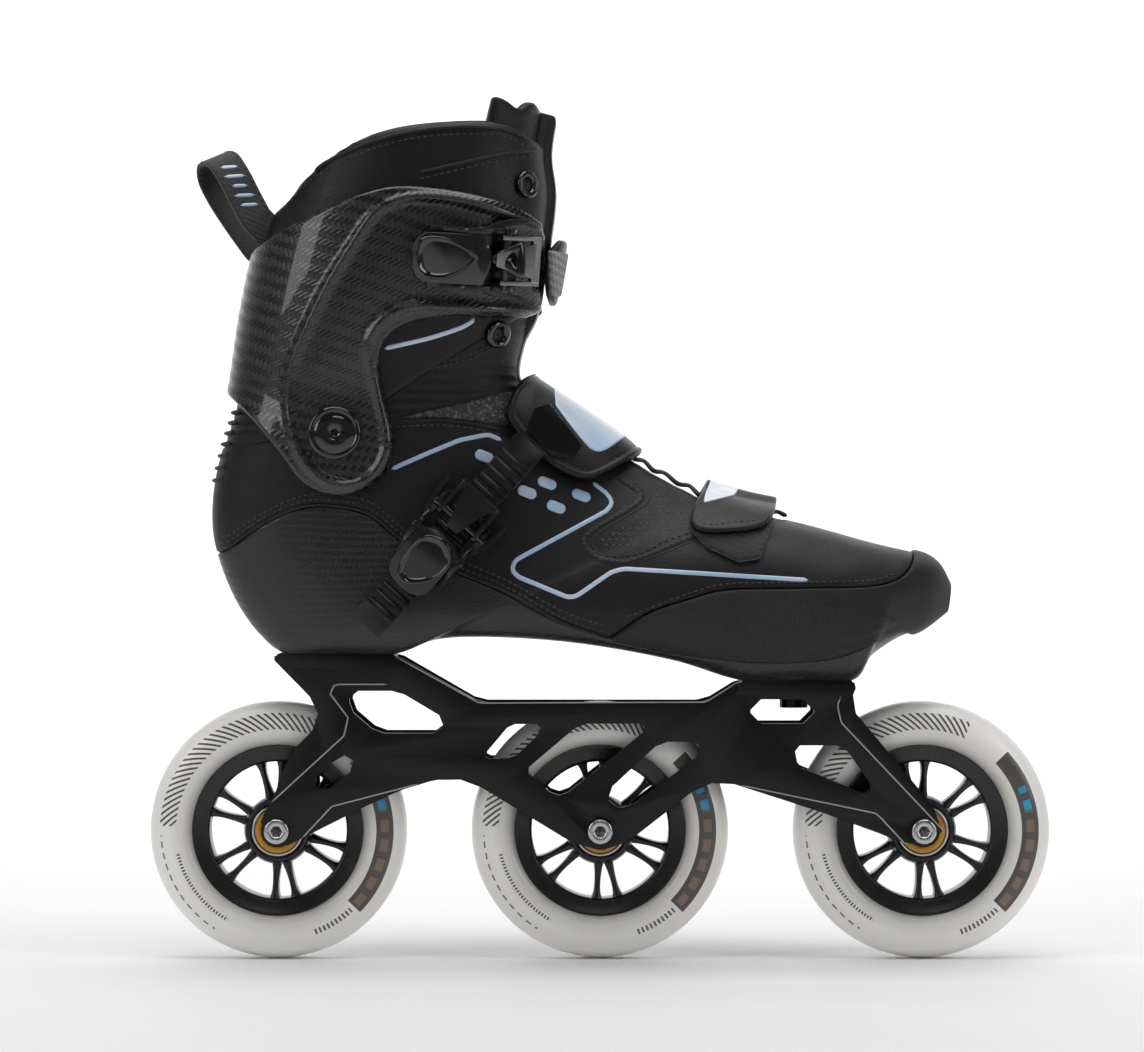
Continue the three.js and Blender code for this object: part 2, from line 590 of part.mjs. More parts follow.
// Everything over the flex line belongs to the shaft, everything under it to the foot.
const shaftSector = () => prism([[PIVOT_X, PIVOT_Z], fromPivot(FLEX_FRONT[1], FAR), [60, 450], [-300, 450],
  fromPivot(FLEX_BACK[1], FAR)]);
const flexSector = () =>
  union(wedge(...FLEX_FRONT), wedge(FLEX_BACK[1], FLEX_BACK[0]), rod(GUSSET_R, -120, 120, PIVOT_X, PIVOT_Z));
const aroundPivot = (grow) => rod(GUSSET_R + grow, -120, 120, PIVOT_X, PIVOT_Z);

// The slot down the front of the boot that the tongue fills, on the shaft and on the foot.
const THROAT_END = 78;
const THROAT_OUTLINE = [
  [-60, 400], [-46, 300], [-52, 246], [-10, 212], [40, 184], [THROAT_END, 178], [THROAT_END, 230], [40, 400],
];
const throatCut = (half) => prism(THROAT_OUTLINE, -half, half);

function shell() {
  const wall = bootWall(0, -WALL_T, SOLE_T).intersect(shellRegion());
  const floorRegion = prism([[-160, 90], [120, 90], [120, 150], [-160, 150]]);
  const floor = bootBody(-WALL_T - FIT_GAP).subtract(bootBody(-WALL_T, SOLE_T)).intersect(floorRegion);
  let body = wall.add(floor);
  for (const [x, deck] of [[MOUNT_REAR_X, REAR_DECK_Z], [MOUNT_REAR_X + MOUNT_PITCH, FRONT_DECK_Z]]) {
    const hole = new THREE.CylinderGeometry(MOUNT_BOLT_R + SEAT_GAP, MOUNT_BOLT_R + SEAT_GAP, 60, 12);
    hole.rotateX(Math.PI / 2);
    hole.translate(x, 0, deck + BOLT_BITE + 0.4 - 30);
    body = body.subtract(solidOf(hole));
  }
  const deckClear = union(
    box(-150, -80, -60, 60, 100, REAR_DECK_Z + FIT_GAP),
    box(52, 115, -60, 60, 90, FRONT_DECK_Z + FIT_GAP),
  );
  return body.subtract(deckClear);
}

function footUpper() {
  return bootWall(0, -WALL_T)
    .intersect(footRegion())
    .subtract(shaftSector())
    .subtract(flexSector())
    .subtract(aroundPivot(FIT_GAP))
    .subtract(throatCut(THROAT_HALF_W));
}

function collar() {
  return bootWall(0, -WALL_T)
    .intersect(shaftSector())
    .intersect(belowTop(0))
    .subtract(aroundPivot(FIT_GAP * 2))
    .subtract(wedge(FLEX_FRONT[0], FLEX_FRONT[1] + 0.3))
    .subtract(wedge(FLEX_BACK[1] - 0.3, FLEX_BACK[0]))
    .subtract(throatCut(THROAT_HALF_W));
}

function gusset() {
  return bootWall(-GUSSET_INSET, -WALL_T)
    .intersect(flexSector())
    .subtract(throatCut(THROAT_HALF_W + FIT_GAP))
    .subtract(rod(CUFF_BOLT_R + SEAT_GAP, -120, 120, PIVOT_X, PIVOT_Z));
}

function toeGuard() {
  return bootWall(0, -WALL_T).intersect(toeRegion()).subtract(throatCut(THROAT_HALF_W));
}

const PAD_OUT = -WALL_T - FIT_GAP;
// Padding round the back of the ankle: outline in the side view.
function anklePadding() {
  const outline = prism([[-190, 262.6], [-85, 262.6], [-63, 284], [-63, 360], [-190, 360]]);
  return bootWall(PAD_OUT, PAD_OUT - PAD_T).intersect(outline).intersect(belowTop(PAD_DROP));
}

function heelPadding() {
  const outline = prism([[-190, 158], [-96, 158], [-84, 175], [-84, 204], [-190, 213]]);
  return bootBody(PAD_OUT, SOLE_T).subtract(bootBody(PAD_OUT - PAD_T, SOLE_T)).intersect(outline);
}

function insole() {
  const ends = RIBS.slice(SOLE_RIBS[1], -4).map((rib) => ribEnds(rib, PAD_OUT, SOLE_T));
  const floor = ends.map(([, , x, z]) => [x, z]);
  const body = prism([...floor, ...shifted(floor, 0, INSOLE_T).reverse()]);
  return bootBody(PAD_OUT, SOLE_T).intersect(body);
}

// The tongue: a wide sheet under the upper, with a thicker rib in the throat.
const TONGUE_OUTLINE = [
  [-61, 330, 4], [-58.3, 355.6, 4], [-52.1, 363.6, 4], [-46.3, 365.7, 4], [-39.5, 364.7, 4],
  [-30.2, 360.1, 2],
  [-26.8, 363.6, 2], [-22.4, 363.6, 2], [-10, 350, 0], [-14, 300, 0], [-20, 256, 0], [30, 222, 0],
  [84, 200, 0],
  [84, 174, 3], [20, 186, 6], [-22, 212, 6], [-58, 240, 8], [-56, 290, 6],
];
function tongue() {
  const inner = bootBody(PAD_OUT - TONGUE_T);
  const width = box(-100, 75, -TONGUE_HALF_W, TONGUE_HALF_W, 100, 400);
  const sheet = bootBody(PAD_OUT).subtract(inner).intersect(width);
  const half = THROAT_HALF_W - FIT_GAP;
  const shinArea = [[-90, 400], [0, 400], [0, 262], [-90, 262]];
  const shin = bootBody(TONGUE_PROUD).intersect(prism(shinArea, -half, half));
  const instepArea = [[-90, 263], [THROAT_END - 1, 263], [THROAT_END - 1, 150], [-90, 150]];
  const instep = bootBody(0).intersect(prism(instepArea, -half, half));
  return union(sheet, union(shin, instep).subtract(inner)).intersect(prism(TONGUE_OUTLINE));
}

// ---------------------------------------------------------------- cuff
const CUFF_OUTLINE = [
  [-161.2, 247.6, 3], [-151.4, 295, 3], [-147.7, 298.5, 3], [-128.7, 309.7, 4], [-111.5, 318.3, 4],
  [-98.2, 323.5, 4],
  [-84.5, 326.9, 6], [-55.8, 324.7, 6], [-27.7, 315.7, 4], [-27, 296, 4], [-29.9, 275, 4], [-42.9, 273.4, 4],
  [-68.2, 274.1, 8], [-85.3, 269.4, 6], [-93, 259.3, 6], [-91.5, 240, 6], [-86.2, 222.4, 6],
  [-90.2, 206.8, 6],
  [-100.8, 199.6, 6], [-112.5, 198, 6], [-124.8, 203, 6], [-132.9, 214.7, 4], [-146.2, 231.8, 4],
];

function cuff() {
  return bootWall(CUFF_CLEAR + CUFF_T, CUFF_CLEAR)
    .intersect(prism([[-190, 190, 0], [-190, 400, 0], [200, 400, 0], [200, 190, 0]]))
    .intersect(prism(CUFF_OUTLINE))
    .subtract(rod(CUFF_BOLT_R + 0.3, -120, 120, PIVOT_X, PIVOT_Z));
}

function addCuffBolt(name, sign) {
  const y = halfWidthAt(PIVOT_X, PIVOT_Z);
  const face = y + CUFF_CLEAR + CUFF_T + 1.2;
  const cap = rod(CUFF_CAP_R, sign * face, sign * (face + CUFF_CAP_T), PIVOT_X, PIVOT_Z, 24);
  const shank = rod(CUFF_BOLT_R, sign * (y - WALL_T), sign * (face + 0.5), PIVOT_X, PIVOT_Z);
  const socket = rod(SOCKET_R, sign * (face + 0.8), sign * (face + CUFF_CAP_T + 1), PIVOT_X, PIVOT_Z, 6);
  piece(name, union(cap, shank).subtract(socket), BUCKLE_PLASTIC);
}

// ---------------------------------------------------------------- buckles
// Local axes: X along the strap towards its pad, Y across, Z out of the boot. The lever's pin is over x = 0.
function local(shapePoints, y0, y1) {
  return prism(shapePoints, y0, y1, 2);
}
const localBox = (x0, x1, halfY, z0, z1) => box(x0, x1, -halfY, halfY, z0, z1);

function buckleBase() {
  const half = BUCKLE_W / 2;
  const floor = localBox(-BUCKLE_L / 2, BUCKLE_L / 2 + 2, half + BUCKLE_WALL, 0, BUCKLE_FLOOR);
  const cheek = [
    [-14, 0, 0], [-7, BUCKLE_PIN_H + 2.5, 3], [4, BUCKLE_PIN_H + 3, 3], [8, BRACKET_PIN_H, 2],
    [BRACKET_PIN_U + 3, BRACKET_PIN_H + 2.6, 3], [BRACKET_PIN_U + 8, 0, 0],
  ];
  const cheeks = [local(cheek, -half - BUCKLE_WALL, -half), local(cheek, half, half + BUCKLE_WALL)];
  const pins = [
    rod(BUCKLE_PIN_R + 0.3, -40, 40, 0, BUCKLE_PIN_H, 12),
    rod(BUCKLE_PIN_R + 0.3, -40, 40, BRACKET_PIN_U, BRACKET_PIN_H, 12),
  ];
  const wing = (sign) => {
    const shape = new THREE.Shape();
    shape.moveTo(2, sign * half);
    shape.quadraticCurveTo(10, sign * (half + 7), 24, sign * (half + 6));
    shape.lineTo(24, sign * (half + 4.2));
    shape.quadraticCurveTo(14, sign * (half + 4), 12, sign * half);
    const geometry = new THREE.ExtrudeGeometry(shape, { depth: 4.5, bevelEnabled: false, curveSegments: 4 });
    return solidOf(geometry);
  };
  let body = union(floor, ...cheeks, wing(1), wing(-1));
  for (const pin of pins) body = body.subtract(pin);
  return body;
}

function bucklePin(x, z) {
  const half = BUCKLE_W / 2 + BUCKLE_WALL + 0.8;
  return rod(BUCKLE_PIN_R, -half, half, x, z, 12);
}

// The lever: a paddle that narrows to a waist just past its pin.
function lever(paddle) {
  const half = BUCKLE_W / 2 - 0.5;
  const shape = new THREE.Shape();
  shape.moveTo(-paddle, 0);
  shape.quadraticCurveTo(-paddle, half + 1, -paddle + 9, half);
  shape.lineTo(1, half);
  shape.lineTo(4.2, LEVER_WAIST);
  shape.lineTo(4.2, -LEVER_WAIST);
  shape.lineTo(1, -half);
  shape.lineTo(-paddle + 9, -half);
  shape.quadraticCurveTo(-paddle, -half - 1, -paddle, 0);
  const settings = { depth: 30, bevelEnabled: false, curveSegments: 4 };
  const plan = solidOf(new THREE.ExtrudeGeometry(shape, settings));
  const side = local(
    [[-paddle - 1, 6.2, 0], [-paddle - 1, 8.6, 2], [-6, BUCKLE_PIN_H + 2.4, 3], [6, BUCKLE_PIN_H + 2.4, 2],
      [6, BUCKLE_PIN_H - 2, 2], [-5, BUCKLE_PIN_H - 3, 3]],
    -20, 20,
  );
  return plan.intersect(side).subtract(rod(BUCKLE_PIN_R + 0.2, -40, 40, 0, BUCKLE_PIN_H, 12));
}

// The bracket on the front pin: two arms, a bar across their ends and a tab that narrows towards the lever.
function bracket() {
  const outer = BUCKLE_W / 2 - 0.6;
  const inner = outer - BRACKET_BAR / 2;
  const end = BRACKET_PIN_U + BRACKET_REACH;
  const top = BRACKET_PIN_H + 1.6;
  const arms = [1, -1].map((sign) =>
    local(
      [[BRACKET_PIN_U - 3, BRACKET_PIN_H - 2.6, 1.5], [BRACKET_PIN_U - 3, BRACKET_PIN_H + 2.6, 1.5],
        [end, top, 1], [end, top - 3.2, 1]],
      sign > 0 ? inner : -outer, sign > 0 ? outer : -inner,
    ),
  );
  const bar = localBox(end - BRACKET_BAR, end, outer, top - 3.2, top);
  const tab = new THREE.Shape();
  tab.moveTo(BRACKET_PIN_U - 5, LEVER_WAIST);
  tab.lineTo(end - BRACKET_BAR + 1, inner - 1.2);
  tab.lineTo(end - BRACKET_BAR + 1, -inner + 1.2);
  tab.lineTo(BRACKET_PIN_U - 5, -LEVER_WAIST);
  tab.closePath();
  const plate = solidOf(new THREE.ExtrudeGeometry(tab, { depth: 3.6, bevelEnabled: false }));
  return union(...arms, bar, plate.translate([0, 0, top - 2.8])).subtract(
    rod(BUCKLE_PIN_R + 0.2, -40, 40, BRACKET_PIN_U, BRACKET_PIN_H, 12),
  );
}

// A toothed strap lying on the buckle's floor from x0 to x1.
function ladder(x0, x1) {
  const top = BUCKLE_FLOOR + FIT_GAP + LADDER_T;
  const outline = [[x0, BUCKLE_FLOOR + FIT_GAP], [x0, top]];
  for (let x = x0 + 8; x + LADDER_PITCH < x1 - 4; x += LADDER_PITCH) {
    outline.push([x, top], [x + 0.4, top + LADDER_TOOTH], [x + LADDER_PITCH - 1.6, top + LADDER_TOOTH * 0.6],
      [x + LADDER_PITCH - 1.4, top]);
  }
  outline.push([x1, top], [x1, BUCKLE_FLOOR + FIT_GAP]);
  return local(outline, -LADDER_W / 2, LADDER_W / 2);
}

// ---------------------------------------------------------------- straps
const INSTEP_OUTLINE = [
  [-30, 251.5, 3], [-22.7, 247.5, 4], [22, 222, 4], [20, 215, 4], [12.4, 211.1, 4], [-1.4, 204.2, 4],
  [-9, 202.9, 4],
  [-21.5, 209.1, 4], [-30.4, 217.9, 4], [-39.1, 226.7, 4], [-41, 233.5, 4], [-36.6, 244.4, 4],
];
const HOLDER_OUTLINE = [
  [-27.9, 234.7], [-21.4, 236.8], [-7.7, 218.8], [-11.6, 213.2], [-20.2, 214.1], [-31.3, 224.8],
];
const TOE_STRAP_OUTLINE = [
  [46, 214, 2], [80, 204, 2], [76.8, 194.5, 3], [71.6, 183.8, 4], [66.5, 180.2, 4], [45, 178.9, 4],
  [38.2, 181.4, 4],
  [37.7, 185.4, 3], [42.7, 196.9, 2],
];
const TOE_HINGE_Y = -14;
const TOE_HINGE_GAP = 2;
const TOE_STRAP_T = 2.6;
const PATCH_T = 2.4; // hook patch and strap holder
const HOOK_EDGE_Y = -22;
const HOOK_OUTLINE = [[37.7, 196], [37.7, 178], [65.2, 166.2], [73, 184], [76, 194]];

const overBoot = (outline, clear, thick) => bootWall(clear + thick, clear).intersect(prism(outline));

const PAD_CLEAR = CUFF_CLEAR + CUFF_T + 0.8; // the shin pad lies over the cuff's front edge
const SHIN_PAD_EDGE_Y = 30;
const WEBBING_T = 2;
function shinPad() {
  const outline = [[-29, 309.5, 3], [-6, 311, 3], [-6, 271, 3], [-29, 272.5, 3]];
  return overBoot(outline, PAD_CLEAR, STRAP_T).subtract(box(-100, 0, SHIN_PAD_EDGE_Y, 60, 200, 400));
}

// The ribbed webbing that ties the buckle's bail to the shin pad.
function cuffWebbing() {
  const outline = [[-28.6, 303, 1], [-12, 301, 1], [-12, 286, 1], [-28.6, 284.5, 1]];
  const medial = box(-100, 100, -10, 100, 200, 400);
  return overBoot(outline, PAD_CLEAR + STRAP_T + FIT_GAP, WEBBING_T).subtract(medial);
}

// The lace: one tube that zigzags over the tongue, from eyelet row to eyelet row.
function lace() {
  const rungs = RIBS.slice(8, 18).map((rib) => ribEnds(rib, LACE_CLEAR + LACE_R, 0));
  const points = rungs.map(([x, z], i) => new THREE.Vector3(x, (i % 2 ? 1 : -1) * (THROAT_HALF_W - 4), z));
  const path = new THREE.CatmullRomCurve3(points, false, "centripetal");
  const section = new THREE.Shape();
  section.absarc(0, 0, LACE_R, 0, 2 * Math.PI);
  const settings = { steps: 22, extrudePath: path, bevelEnabled: false, curveSegments: 3 };
  return solidOf(new THREE.ExtrudeGeometry(section, settings));
}

// The heel's pull loop: a band bent into a tall loop.
const LOOP_OUTER = [
  [-147.5, 300], [-158, 311], [-169.4, 324.7], [-172.8, 333.3], [-170, 341], [-165.1, 344], [-157, 344],
  [-148, 331],
  [-141.5, 318],
];
const LOOP_INNER = [
  [-144.8, 320], [-150.4, 329.6], [-158.2, 341.6], [-164.6, 341.6], [-168.2, 339], [-170.2, 333.3],
  [-167.4, 326],
  [-156.6, 313.2], [-147.9, 304],
];
const LOOP_FOOT = new THREE.Vector3(-148, 0, 308);
const LOOP_TIP = new THREE.Vector3(-165, 0, 343);
const LOOP_TURN = -62; // the loop is turned about its length, in degrees, so that its band faces outwards
function pullLoop() {
  const axis = LOOP_TIP.clone().sub(LOOP_FOOT).normalize();
  const turn = new THREE.Matrix4().makeRotationAxis(axis, THREE.MathUtils.degToRad(LOOP_TURN));
  const place = new THREE.Matrix4().makeTranslation(...LOOP_FOOT);
  place.multiply(turn).multiply(new THREE.Matrix4().makeTranslation(...LOOP_FOOT.clone().negate()));
  const band = geometryOf(prism([...LOOP_OUTER, ...LOOP_INNER], -PULL_LOOP_W / 2, PULL_LOOP_W / 2));
  const cuffSpace = bootBody(CUFF_CLEAR + CUFF_T + FIT_GAP).intersect(prism(shifted(CUFF_OUTLINE, 0, 1)));
  return solidOf(band.applyMatrix4(place)).subtract(bootBody(0.4)).subtract(cuffSpace);
}

function eyelet(x, z, lateral) {
  const geometry = new THREE.LatheGeometry(
    [[EYELET_HOLE_R, 0], [EYELET_R, 0], [EYELET_R - 0.8, 1.2], [EYELET_HOLE_R, 1.2], [EYELET_HOLE_R, 0]].map(
      ([r, h]) => new THREE.Vector2(r, h),
    ),
    12,
  );
  geometry.rotateX(Math.PI / 2);
  return { solid: solidOf(geometry), place: sideFrame(x, z, 1, 0, EYELET_RISE, 3, lateral) };
}

// ---------------------------------------------------------------- assembly
piece("frame", frame(), BLACK_ALLOY);
addMountBolt("rear", MOUNT_REAR_X, REAR_DECK_Z);
addMountBolt("front", MOUNT_REAR_X + MOUNT_PITCH, FRONT_DECK_Z);
for (const [name, x] of AXLES) addWheel(name, x);

piece("carbon_shell", shell(), CARBON);
piece("foot_upper", footUpper(), MICROFIBRE);
piece("toe_guard", toeGuard(), RUBBER);
piece("ankle_gusset", gusset(), MICROFIBRE);
piece("ankle_collar", collar(), MICROFIBRE);
piece("ankle_padding", anklePadding(), PADDING);
piece("heel_padding", heelPadding(), PADDING);
piece("insole", insole(), PADDING);
piece("tongue", tongue(), MICROFIBRE);
piece("cuff", cuff(), CARBON);
addCuffBolt("cuff_bolt_lateral", -1);
addCuffBolt("cuff_bolt_medial", 1);

const CUFF_BUCKLE = sideFrame(-54.9, 297.4, 0.9998, -0.02, CUFF_CLEAR + CUFF_T + 1.4, 20);
piece("cuff_buckle_base", buckleBase(), BUCKLE_PLASTIC, CUFF_BUCKLE);
piece("cuff_buckle_lever", lever(29), BUCKLE_PLASTIC, CUFF_BUCKLE);
piece("cuff_buckle_pin", bucklePin(0, BUCKLE_PIN_H), STEEL, CUFF_BUCKLE);
piece("cuff_buckle_bail", bracket(), STEEL, CUFF_BUCKLE);
piece("cuff_buckle_bail_pin", bucklePin(BRACKET_PIN_U, BRACKET_PIN_H), STEEL, CUFF_BUCKLE);
piece("cuff_strap_webbing", cuffWebbing(), GREY_WEBBING);
piece("shin_pad", shinPad(), PADDING);

const INSTEP_BUCKLE = sideFrame(-67.8, 176.8, 0.67, 0.742, 2.5, 16);
piece("instep_buckle_base", buckleBase(), BUCKLE_PLASTIC, INSTEP_BUCKLE);
piece("instep_buckle_lever", lever(24), BUCKLE_PLASTIC, INSTEP_BUCKLE);
piece("instep_buckle_pin", bucklePin(0, BUCKLE_PIN_H), STEEL, INSTEP_BUCKLE);
piece("instep_release", bracket(), BUCKLE_PLASTIC, INSTEP_BUCKLE);
piece("instep_release_pin", bucklePin(BRACKET_PIN_U, BRACKET_PIN_H), STEEL, INSTEP_BUCKLE);
piece("instep_ladder", ladder(-46, 58), BUCKLE_PLASTIC, INSTEP_BUCKLE);

piece("instep_pad", overBoot(INSTEP_OUTLINE, STRAP_CLEAR, STRAP_T), PADDING);
const flapSide = box(-20, 120, -120, TOE_HINGE_Y - TOE_HINGE_GAP, 100, 300);
const fixedSide = box(-20, 120, TOE_HINGE_Y + TOE_HINGE_GAP, 120, 100, 300);
const toeStrap = overBoot(TOE_STRAP_OUTLINE, STRAP_CLEAR, TOE_STRAP_T);
piece("toe_strap", toeStrap.intersect(fixedSide), STRAP_FABRIC);
piece("toe_strap_flap", toeStrap.intersect(flapSide), STRAP_FABRIC);
const hookSide = box(-20, 120, -120, HOOK_EDGE_Y, 100, 300);
piece("hook_patch", overBoot(HOOK_OUTLINE, FIT_GAP, PATCH_T).intersect(hookSide), STRAP_FABRIC);
const holder = overBoot(HOLDER_OUTLINE, STRAP_CLEAR + STRAP_T + FIT_GAP, PATCH_T);
piece("instep_strap_holder", holder.intersect(box(-60, 20, -60, 0, 150, 300)), BUCKLE_PLASTIC);
piece("lace", lace(), STRAP_FABRIC);
piece("pull_loop", pullLoop(), STRAP_FABRIC);
for (const [name, x, z] of [["upper", -31.5, 329], ["lower", -43.7, 266]]) {
  for (const side of ["lateral", "medial"]) {
    const { solid, place } = eyelet(x, z, side === "lateral");
    piece(`${name}_eyelet_${side}`, solid, STEEL, place);
  }
}

export default skate;
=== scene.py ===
# %% [markdown]
# # A three-wheel inline skate
# The skate is for a right foot. Its hard parts were designed in CAD, and this file gives every part its
# looks. The CAD model is loaded first, as a frame that never moves: each piece made here sits where its CAD
# part sits, and rides on the same moving body. Everything is in metres, with +X to the toe, +Z up and -Y
# to the outer side of the foot. The ground is z = 0 and the middle axle stands over x = 0.

# %% Load the frame
import math
import bmesh
import bpy
import numpy as np
from mathutils import Matrix, Vector


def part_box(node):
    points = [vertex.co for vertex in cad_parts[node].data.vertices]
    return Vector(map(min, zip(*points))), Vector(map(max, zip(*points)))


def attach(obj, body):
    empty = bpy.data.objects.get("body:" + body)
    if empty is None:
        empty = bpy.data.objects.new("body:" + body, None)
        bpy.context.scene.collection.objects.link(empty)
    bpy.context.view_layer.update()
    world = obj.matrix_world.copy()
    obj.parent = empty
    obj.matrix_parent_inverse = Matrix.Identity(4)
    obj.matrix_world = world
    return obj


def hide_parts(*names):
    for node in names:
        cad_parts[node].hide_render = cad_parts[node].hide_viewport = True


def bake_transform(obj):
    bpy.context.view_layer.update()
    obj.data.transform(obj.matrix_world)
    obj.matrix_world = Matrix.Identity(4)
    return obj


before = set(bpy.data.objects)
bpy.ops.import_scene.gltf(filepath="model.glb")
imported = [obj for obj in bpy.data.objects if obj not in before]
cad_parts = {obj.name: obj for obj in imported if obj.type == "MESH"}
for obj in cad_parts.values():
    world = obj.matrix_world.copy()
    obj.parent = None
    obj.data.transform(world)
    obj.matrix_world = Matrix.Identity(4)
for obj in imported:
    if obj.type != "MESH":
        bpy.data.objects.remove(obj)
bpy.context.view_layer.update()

MM = 0.001

# %% [markdown]
# ## Camera, floor and light
# A long lens, far away and level with the boot, keeps the side view free of distortion. The light comes
# from large soft panels, one overhead, one on each side and a low one in front, as in a product studio, so
# that gloss black surfaces show long calm reflections instead of hard spots. One more lights the sheet
# that rises behind.

# %% Camera and studio
CAMERA_DISTANCE = 2.0
VIEW_WIDTH = 0.4906  # metres across the view at the plane of the wheels
VIEW_CENTRE = (-0.012, 0.1849)


def aim(obj, target):
    """Turns obj so that its -Z axis points at target, with its Y axis up."""
    direction = Vector(target) - obj.location
    obj.rotation_euler = direction.to_track_quat("-Z", "Y").to_euler()


def panel(name, place, target, size, power, colour=(1, 1, 1)):
    """A rectangular area light of the given size at place, facing target."""
    data = bpy.data.lights.new(name, "AREA")
    data.shape = "RECTANGLE"
    data.size, data.size_y = size
    data.energy = power
    data.color = colour
    lamp = bpy.data.objects.new(name, data)
    bpy.context.scene.collection.objects.link(lamp)
    lamp.location = place
    aim(lamp, target)


camera = bpy.data.objects.new("camera", bpy.data.cameras.new("camera"))
bpy.context.scene.collection.objects.link(camera)
camera.location = (VIEW_CENTRE[0], -CAMERA_DISTANCE, VIEW_CENTRE[1])
camera.rotation_euler = (math.pi / 2, 0, 0)
camera.data.sensor_width = 36
camera.data.lens = camera.data.sensor_width * CAMERA_DISTANCE / VIEW_WIDTH
bpy.context.scene.camera = camera

panel("overhead", (0.0, -0.1, 1.6), (0, 0.05, 0.0), (1.6, 1.2), 20)
panel("left", (-1.3, -0.9, 0.8), (-0.05, 0, 0.2), (0.5, 0.9), 5)
panel("right", (1.3, -0.8, 0.7), (0.05, 0, 0.15), (0.4, 0.9), 4)
panel("front", (0.1, -2.2, 1.5), (0, 0, 0.15), (0.9, 0.3), 2.4)
panel("behind", (0.0, 1.6, 1.9), (0, 3.1, 0.2), (3.0, 0.9), 60)
world = bpy.data.worlds.new("studio")
bpy.context.scene.world = world
world.use_nodes = True
world.node_tree.nodes["Background"].inputs["Color"].default_value = (0.93, 0.95, 1.0, 1)
world.node_tree.nodes["Background"].inputs["Strength"].default_value = 0.07
bpy.context.scene.view_settings.view_transform = "Standard"
print("lens", round(camera.data.lens, 1), "mm")

# %% [markdown]
# ## The last
# A boot is built over a last, so one smooth surface underlies every panel of it. Here the last is a row of
# ribs, closed loops in planes that stand across the boot, from the top of the shaft to the tip of the toe.
# A rib is given by its front point and its back point in the side view, its half width, the half width of
# the flat at its back, and where along it is widest. Between ribs the values follow a smooth curve, so a
# point on the last is a function of two numbers: t, which counts ribs, and c, the way round the rib.

# %% Ribs of the last
RIB_TABLE = np.array([[-18, 372, -128, 352, 46, 4, 0.5], [-22.7, 345.3, -138.9, 320, 46, 4, 0.5],
                      [-21, 324.7, -145, 298.2, 46, 4, 0.5], [-24.4, 298.2, -150.1, 273.3, 44, 4, 0.5],
                      [-29.2, 272.9, -153.5, 249.7, 41, 4, 0.52],
                      [-33.9, 252.3, -156.1, 234.7, 38.5, 5, 0.54],
                      [-30.9, 244.1, -160.8, 219.7, 38, 6, 0.56],
                      [-23.6, 238.1, -164.7, 202.5, 38, 7, 0.58],
                      [-12.9, 231.3, -165.5, 185.4, 38, 8, 0.6], [-2.1, 224, -162.5, 170.4, 38.5, 9, 0.6],
                      [7.7, 217.1, -155.2, 153.2, 39, 12, 0.6], [17.2, 211.1, -145, 139.1, 39.5, 16, 0.6],
                      [25.7, 206, -132.9, 130.7, 40, 20, 0.6], [36.5, 200.4, -111.5, 130.7, 41, 22, 0.6],
                      [45, 196.1, -87.1, 130.7, 42.5, 22, 0.6], [53.6, 193.5, -68.6, 136.9, 44, 24, 0.6],
                      [63.5, 190.9, -42.9, 137.8, 46, 28, 0.6], [73.8, 188.8, -8.6, 135.2, 48, 30, 0.6],
                      [85.8, 186.2, 30, 128.3, 49, 28, 0.58], [98.6, 182.8, 60, 119.5, 48, 24, 0.55],
                      [112.4, 178.9, 85.8, 119.5, 45, 22, 0.5], [124.4, 175.9, 107.2, 119.5, 40, 20, 0.5],
                      [132.1, 174.2, 114.9, 129.6, 35, 18, 0.5],
                      [139.4, 172.1, 126.5, 137.3, 28, 14, 0.5], [145, 167.8, 137.2, 141.2, 20, 8, 0.5],
                      [149.2, 160, 148, 149, 8, 3, 0.5]])
RIB_TABLE[:, :6] *= MM
FRONT_POWER = 2.5  # how square the front and back quarters of a rib are
BACK_POWER = 2.3
LAST_RIB = len(RIB_TABLE) - 1


def rib_values(t):
    """The seven values of a rib at the real number t, by a Catmull-Rom curve through the whole ribs:
    each value leaves a rib with half the difference of its two neighbours as its slope."""
    t = np.clip(np.asarray(t, float), 0, LAST_RIB)
    i = np.minimum(t.astype(int), LAST_RIB - 1)
    f = (t - i)[..., None]
    p0, p1 = RIB_TABLE[np.maximum(i - 1, 0)], RIB_TABLE[i]
    p2, p3 = RIB_TABLE[i + 1], RIB_TABLE[np.minimum(i + 2, LAST_RIB)]
    return 0.5 * (2 * p1 + (p2 - p0) * f + (2 * p0 - 5 * p1 + 4 * p2 - p3) * f**2
                  + (3 * p1 - p0 - 3 * p2 + p3) * f**3)


def half_width(rib, s):
    """Half width of a rib at share s of its length: a quarter of a superellipse up to its widest place,
    and another down to the flat at its back."""
    half, flat, widest = rib[..., 4], rib[..., 5], rib[..., 6]
    front = np.clip(1 - s / widest, 0, 1)
    back = np.clip((s - widest) / (1 - widest), 0, 1)
    rise = half * (1 - front**FRONT_POWER) ** (1 / FRONT_POWER)
    fall = flat + (half - flat) * (1 - back**BACK_POWER) ** (1 / BACK_POWER)
    return np.where(s < widest, rise, fall)


